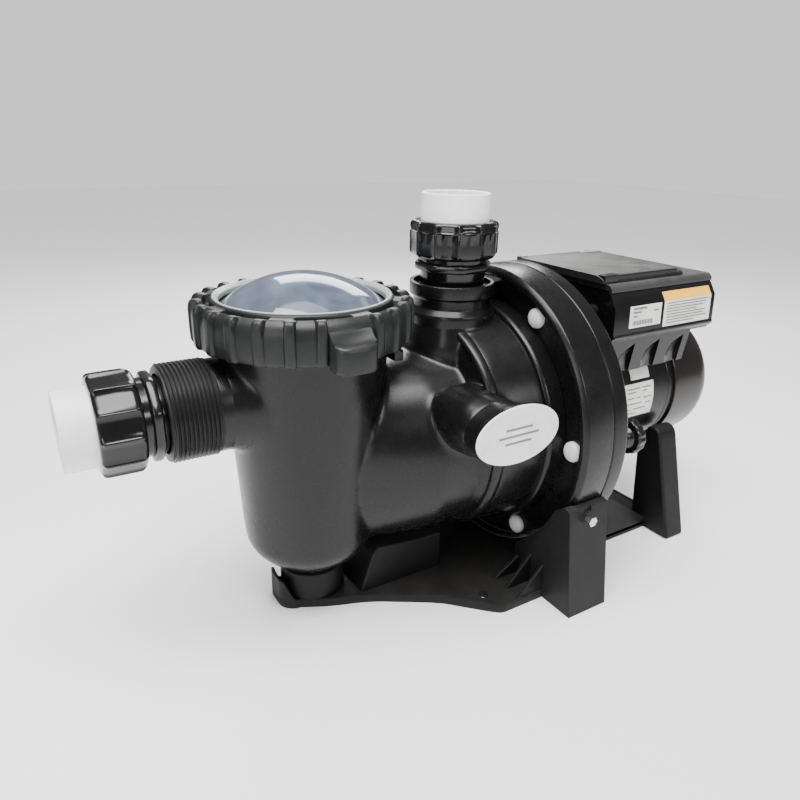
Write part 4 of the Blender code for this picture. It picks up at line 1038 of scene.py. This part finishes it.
    faceSlope = (0.0948 - 0.0932) / (0.2990 - 0.2715)
    bevelSlope = (0.0932 - 0.0845) / (0.3125 - 0.2990)

    def faceY(z):
        return -0.0948 + faceSlope * (z - 0.2715) if z <= 0.2990 else -0.0932 + bevelSlope * (z - 0.2990)
    for name, finish, start, end, low, high in (("drive_label_small", "label", 0.082, 0.133, 0.2745,
                                                 0.2985), ("drive_label_wide", "label", 0.138, 0.2205,
                                                           0.2700, 0.2990),
                                                ("drive_label_band", "yellowInk", 0.138, 0.2205, 0.2990,
                                                 0.3085)):
        line = [(faceY(low) - 0.0005, low), (faceY(high) - 0.0005, high), (faceY(high) + 0.0010, high),
                (faceY(low) + 0.0010, low)]
        dress(rounded(prism(name, line, xAt(start), xAt(end), "X"), 0.0002, 1), finish, "pump_body", "label")
    marks = []
    for start, end, z, tall in ((0.087, 0.108, 0.2945, 0.0022), (0.087, 0.100, 0.2905, 0.0018),
                                (0.120, 0.128, 0.2905, 0.0016), (0.087, 0.094, 0.2862, 0.0016)):
        marks.append((start, end, z, tall))
    for index in range(22):
        marks.append((0.0870 + index * 0.0015, 0.0870 + index * 0.0015 + (0.0009 if index % 3 else 0.0004),
                      0.2772, 0.0052))
    for row in range(8):
        marks.append((0.143, 0.2150 - 0.004 * (row * 7 % 3) - (0.020 if row in (3, 7) else 0),
                      0.2958 - row * 0.0032, 0.0011))
    lines = []
    for start, end, z, tall in marks:
        lines.append(prism("line", [(faceY(z) - 0.0008, z), (faceY(z + tall) - 0.0008, z + tall),
                                    (faceY(z + tall), z + tall), (faceY(z), z)], xAt(start), xAt(end), "X"))
    dress(merge("drive_label_lines", *lines), "greyInk", "pump_body", "label")

    for number in range(1, 5):
        low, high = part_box(f"speed_button_{number}")
        middle = (low + high) / 2
        button = lathe(f"button_cap_{number}", soften([(0, 0.3165), (0.0080, 0.3165),
                                                       (0.0080, 0.3222, 0.0012), (0.0055, 0.3222),
                                                       (0.0035, 0.3217), (0, 0.3215)], 0.0006),
                       Matrix.Translation((middle.x, middle.y, 0)), 40)
        dress(button, "button", f"button_{number}", "button", f"speed_button_{number}")


makeDrive()
print("drive done")


# base
base = dict(plate=0.0078, lip=0.0092, lipWidth=0.0035, edge=0.0022, tipHeight=0.031)


def baseOutline():
    right = [(-0.284 - 0.018 * cos(radians(a)), -0.0075 - 0.018 * sin(radians(a))) for a in range(0, 91, 10)]
    sweep = [(-0.258, -0.039), (-0.216, -0.0534), (-0.187, -0.0713), (-0.153, -0.0923), (-0.1375, -0.108),
             (-0.1083, -0.1377), (-0.1008, -0.1394)]
    points = [right[-1]] + sweep
    for _ in range(2):
        finer = [points[0]]
        for a, b in zip(points, points[1:]):
            finer += [(0.75 * a[0] + 0.25 * b[0], 0.75 * a[1] + 0.25 * b[1]),
                      (0.25 * a[0] + 0.75 * b[0], 0.25 * a[1] + 0.75 * b[1])]
        points = finer + [points[-1]]
    right = right[:-1] + points + [(0.0032, -0.1394), (0.0032, -0.097), (0.1955, -0.097)]
    return [(xAt(s), y) for s, y in right] + [(xAt(s), -y) for s, y in right[::-1]]


def inset(outline, distance):
    result = []
    count = len(outline)
    for index, point in enumerate(outline):
        here = Vector(point)
        before = (here - Vector(outline[index - 1])).normalized()
        after = (Vector(outline[(index + 1) % count]) - here).normalized()
        normal = (Vector((-before.y, before.x)) + Vector((-after.y, after.x))).normalized()
        scale = distance / max(0.35, normal.dot(Vector((-before.y, before.x))))
        result.append(tuple(here + normal * scale))
    return result


def makeBase():
    outline = baseOutline()
    inner = inset(outline, base["lipWidth"])
    flip = 1
    if not (min(p[1] for p in inner) > min(p[1] for p in outline)):
        inner = inset(outline, -base["lipWidth"])
        flip = -1
    wall = inset(outline, flip * 0.0006)
    rows = [(outline, 0.0), (outline, base["lip"] - 0.0008), (wall, base["lip"]),
            (inset(outline, flip * (base["lipWidth"] - 0.0008)), base["lip"]),
            (inner, base["lip"] - 0.0008), (inner, base["plate"])]
    rings = [[(x, y, z) for x, y in line] for line, z in rows]
    plate = skin("base_plate", rings, None, False, 35)
    holes = []
    for station, y in ((-0.110, 0.112), (0.120, 0.080)):
        for mirror in (-1, 1):
            holes.append(rod("hole", 0.0055, -0.01, 0.03, Matrix.Translation((xAt(station), mirror * y, 0)),
                             32))
    carve(plate, *holes)
    dress(plate, "base", "pump_body", "base_plastic", "base")

    wall = []
    for turn in range(-90, 91, 6):
        rise = base["lip"] + (base["tipHeight"] - base["lip"]) * bump(turn, 25, 55)
        y = 0.0075 if turn > 0 else -0.0075 if turn < 0 else 0
        spots = [(xAt(-0.284 - radius * cos(radians(turn))), y + radius * sin(radians(turn)))
                 for radius in (0.0179, 0.0149)]
        wall.append([(*spots[0], 0.004), (*spots[0], rise), (*spots[1], rise), (*spots[1], 0.004)])
    tip = skin("base_tip", wall, None, False, 50)
    dress(rounded(tip, 0.0008, 2), "base", "pump_body", "base_plastic")

    def flangeRoom():
        return rod("flangeRoom", 0.1655, -0.0390, 0.0300, shaftPlace, 192)

    def voluteRoom():
        return lathe("voluteRoom", [(0, -0.114), (0.1035, -0.1140), (0.1160, -0.1120), (0.1210, -0.1050),
                                    (0.1285, -0.0385), (0, -0.0385)], shaftPlace, 128)

    def potRoom():
        return lathe("potRoom", [(0, 0.0393), (0.0283, 0.0393), (0.0433, 0.0490), (0.0555, 0.0583),
                                 (0.0637, 0.0672), (0.0687, 0.0776), (0.0705, 0.0990), (0, 0.0990)],
                     potPlace, 96)

    pedestal = lathe("base_pedestal", soften([(0, 0.004), (0.034, 0.004), (0.034, 0.0392), (0, 0.0392)],
                                             0.001), potPlace, 64)
    carve(pedestal, potRoom())
    dress(pedestal, "base", "pump_body", "base_plastic")
    spine = prism("base_spine", [(xAt(-0.224), 0.002), (xAt(-0.120), 0.002), (xAt(-0.120), 0.0510),
                                 (xAt(-0.147), 0.0515), (xAt(-0.200), 0.0570), (xAt(-0.208), 0.0500)],
                  -0.044, 0.044, "Y")
    carve(spine, skin("hornRoom", hornRings(0.0020)), voluteRoom(), potRoom())
    rounded(spine, base["edge"])
    dress(spine, "base", "pump_body", "base_plastic")
    for mirror, tag in ((-1, "front"), (1, "back")):
        legLine = [(mirror * y, z) for y, z in [(0.1806, 0.0), (0.1660, 0.1060), (0.1640, 0.1180),
                                                (0.1560, 0.1200)]]
        for z in (0.110, 0.1025, 0.095, 0.0865, 0.078, 0.069, 0.060):
            legLine.append((mirror * sqrt(0.1560 ** 2 - (shaftZ - z) ** 2), z))
        legLine += [(mirror * 0.0900, 0.0400), (mirror * 0.0900, 0.0)]
        leg = prism(f"leg_{tag}", legLine, xAt(-0.0500), xAt(0.0032), "X")
        slotX = (xAt(-0.030), xAt(-0.020))
        relief = block("relief", (slotX[0], mirror * 0.1690 if mirror > 0 else -0.20, 0.1120),
                       (slotX[1], 0.20 if mirror > 0 else -0.1620, 0.130))
        carve(leg, flangeRoom(), relief)
        rounded(leg, base["edge"])
        dress(leg, "base", "pump_body", "base_plastic")
        rearLine = [(mirror * y, z) for y, z in ((0.134, 0.0), (0.1005, 0.122), (0.0990, 0.1275),
                                                 (0.0965, 0.1325), (0.0925, 0.1362), (0.0880, 0.1372),
                                                 (0.0835, 0.1368), (0.0795, 0.1345), (0.0765, 0.1300),
                                                 (0.0665, 0.118), (0.0760, 0.004), (0.0760, 0.0))]
        rear = prism(f"rear_leg_{tag}", rearLine, xAt(0.1634), xAt(0.1955), "X")
        carve(rear, rod("motorRoom", 0.0840, 0.150, 0.210, shaftPlace, 128))
        rounded(rear, 0.0035, 4)
        dress(rear, "base", "pump_body", "base_plastic")
        fins = []
        for y, rise in ((0.1375, 0.0415), (0.1180, 0.0440), (0.0985, 0.0300)):
            low = min(mirror * y, mirror * (y - 0.004))
            fins.append(rounded(prism("fin", [(xAt(-0.0850), 0.004), (xAt(-0.0480), 0.004),
                                              (xAt(-0.0480), rise), (xAt(-0.0800), 0.0105)], low,
                                      low + 0.004, "Y"), 0.0010, 2))
        low = min(mirror * 0.0970, mirror * 0.0930)
        web = prism("web", [(xAt(0.0020), 0.004), (xAt(0.1640), 0.004), (xAt(0.1640), 0.014),
                            (xAt(0.0929), 0.0620), (xAt(0.0020), 0.0620)], low, low + 0.004, "Y")
        carve(web, flangeRoom())
        fins.append(rounded(web, 0.0010, 2))
        dress(merge(f"base_fins_{tag}", *fins), "base", "pump_body", "base_plastic")


makeBase()
print("base done")

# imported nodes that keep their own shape
kept = {"lid_oring": "rubber", "pot_drain_plug": "body", "volute_drain_plug": "body", "diffuser": "inner",
        "impeller": "inner", "impeller_screw": "steel", "seal_head": "rubber", "seal_seat": "ceramic",
        "housing_oring": "rubber", "stator_core": "lamination", "winding_front": "copper",
        "winding_rear": "copper", "rotor_core": "lamination", "shaft": "steel", "front_bearing": "steel",
        "rear_bearing": "steel", "cooling_fan": "inner", "drive_board": "board", "cover_hinge_pin": "steel",
        "suction_oring": "rubber", "discharge_oring": "rubber", "leg_screw_left": "steel",
        "leg_screw_right": "steel"}
for name, finish in kept.items():
    node = nodes[name]
    if not node.material_slots:
        node.data.materials.append(None)
    for slot in node.material_slots:
        slot.material = materials[finish]
for name in ("leg_screw_left", "leg_screw_right", "pot_drain_plug", "volute_drain_plug"):
    modifier = nodes[name].modifiers.new("edges", "BEVEL")
    modifier.width = 0.0006
    modifier.segments = 2
    modifier.limit_method = "ANGLE"

# stage, light and camera
stage = dict(floor=(0.95, 0.95, 0.95), backdrop=(1.0, 1.0, 1.0), backdropStrength=1.0, ambientStrength=0.26)
floorMesh = bpy.data.meshes.new("floor")
floorMesh.from_pydata([(-6, -6, 0), (6, -6, 0), (6, 6, 0), (-6, 6, 0)], [], [(0, 1, 2, 3)])
floor = bpy.data.objects.new("floor", floorMesh)
bpy.context.scene.collection.objects.link(floor)
floorMaterial = bpy.data.materials.new("floor")
floorMaterial.use_nodes = True
floorMaterial.node_tree.nodes["Principled BSDF"].inputs["Base Color"].default_value = (*stage["floor"], 1)
floorMaterial.node_tree.nodes["Principled BSDF"].inputs["Roughness"].default_value = 0.6
floorMesh.materials.append(floorMaterial)

world = bpy.data.worlds.new("studio")
bpy.context.scene.world = world
world.use_nodes = True
ambient = world.node_tree.nodes["Background"]
ambient.inputs["Color"].default_value = (*stage["backdrop"], 1)
ambient.inputs["Strength"].default_value = stage["ambientStrength"]
backdrop = world.node_tree.nodes.new("ShaderNodeBackground")
backdrop.inputs["Color"].default_value = (*stage["backdrop"], 1)
backdrop.inputs["Strength"].default_value = stage["backdropStrength"]
rays = world.node_tree.nodes.new("ShaderNodeLightPath")
blend = world.node_tree.nodes.new("ShaderNodeMixShader")
world.node_tree.links.new(rays.outputs["Is Camera Ray"], blend.inputs[0])
world.node_tree.links.new(ambient.outputs[0], blend.inputs[1])
world.node_tree.links.new(backdrop.outputs[0], blend.inputs[2])
world.node_tree.links.new(blend.outputs[0], world.node_tree.nodes["World Output"].inputs["Surface"])

lights = {"overhead": dict(place=(-0.35, -0.25, 1.6), size=(1.3, 0.8), power=44, aim=(-0.05, 0, 0.2)),
          "left": dict(place=(-1.5, -0.9, 0.9), size=(0.7, 0.9), power=10, aim=(-0.05, 0, 0.2)),
          "front": dict(place=(0.5, -1.7, 1.1), size=(0.9, 0.4), power=11, aim=(0.05, 0, 0.2)),
          "back": dict(place=(0.7, 1.3, 1.2), size=(1.2, 0.6), power=26, aim=(0.1, 0, 0.25))}
for name, look in lights.items():
    lamp = bpy.data.lights.new(name, "AREA")
    lamp.shape = "RECTANGLE"
    lamp.size, lamp.size_y = look["size"]
    lamp.energy = look["power"]
    item = bpy.data.objects.new(name, lamp)
    bpy.context.scene.collection.objects.link(item)
    item.location = look["place"]
    item.rotation_euler = (Vector(look["aim"]) - Vector(look["place"])).to_track_quat("-Z", "Y").to_euler()

daylight = dict(strength=2.6, angle=55, tilt=(0.12, -0.10))
sun = bpy.data.lights.new("daylight", "SUN")
sun.energy = daylight["strength"]
sun.angle = radians(daylight["angle"])
sunItem = bpy.data.objects.new("daylight", sun)
bpy.context.scene.collection.objects.link(sunItem)
sunItem.rotation_euler = (daylight["tilt"][0], daylight["tilt"][1], 0)

view = dict(fromSeam=-0.50271, side=-0.56901, height=0.46464, azimuth=-31.7169, elevation=21.4569,
            roll=1.2427, lens=30.12)
cameraData = bpy.data.cameras.new("camera")
cameraData.lens = view["lens"]
cameraData.sensor_width = 36
camera = bpy.data.objects.new("camera", cameraData)
bpy.context.scene.collection.objects.link(camera)
camera.matrix_world = (Matrix.Translation((seamX + view["fromSeam"], view["side"], view["height"]))
                       @ Matrix.Rotation(radians(view["azimuth"]), 4, "Z")
                       @ Matrix.Rotation(radians(90 - view["elevation"]), 4, "X")
                       @ Matrix.Rotation(radians(view["roll"]), 4, "Z"))
bpy.context.scene.camera = camera
print("stage done")
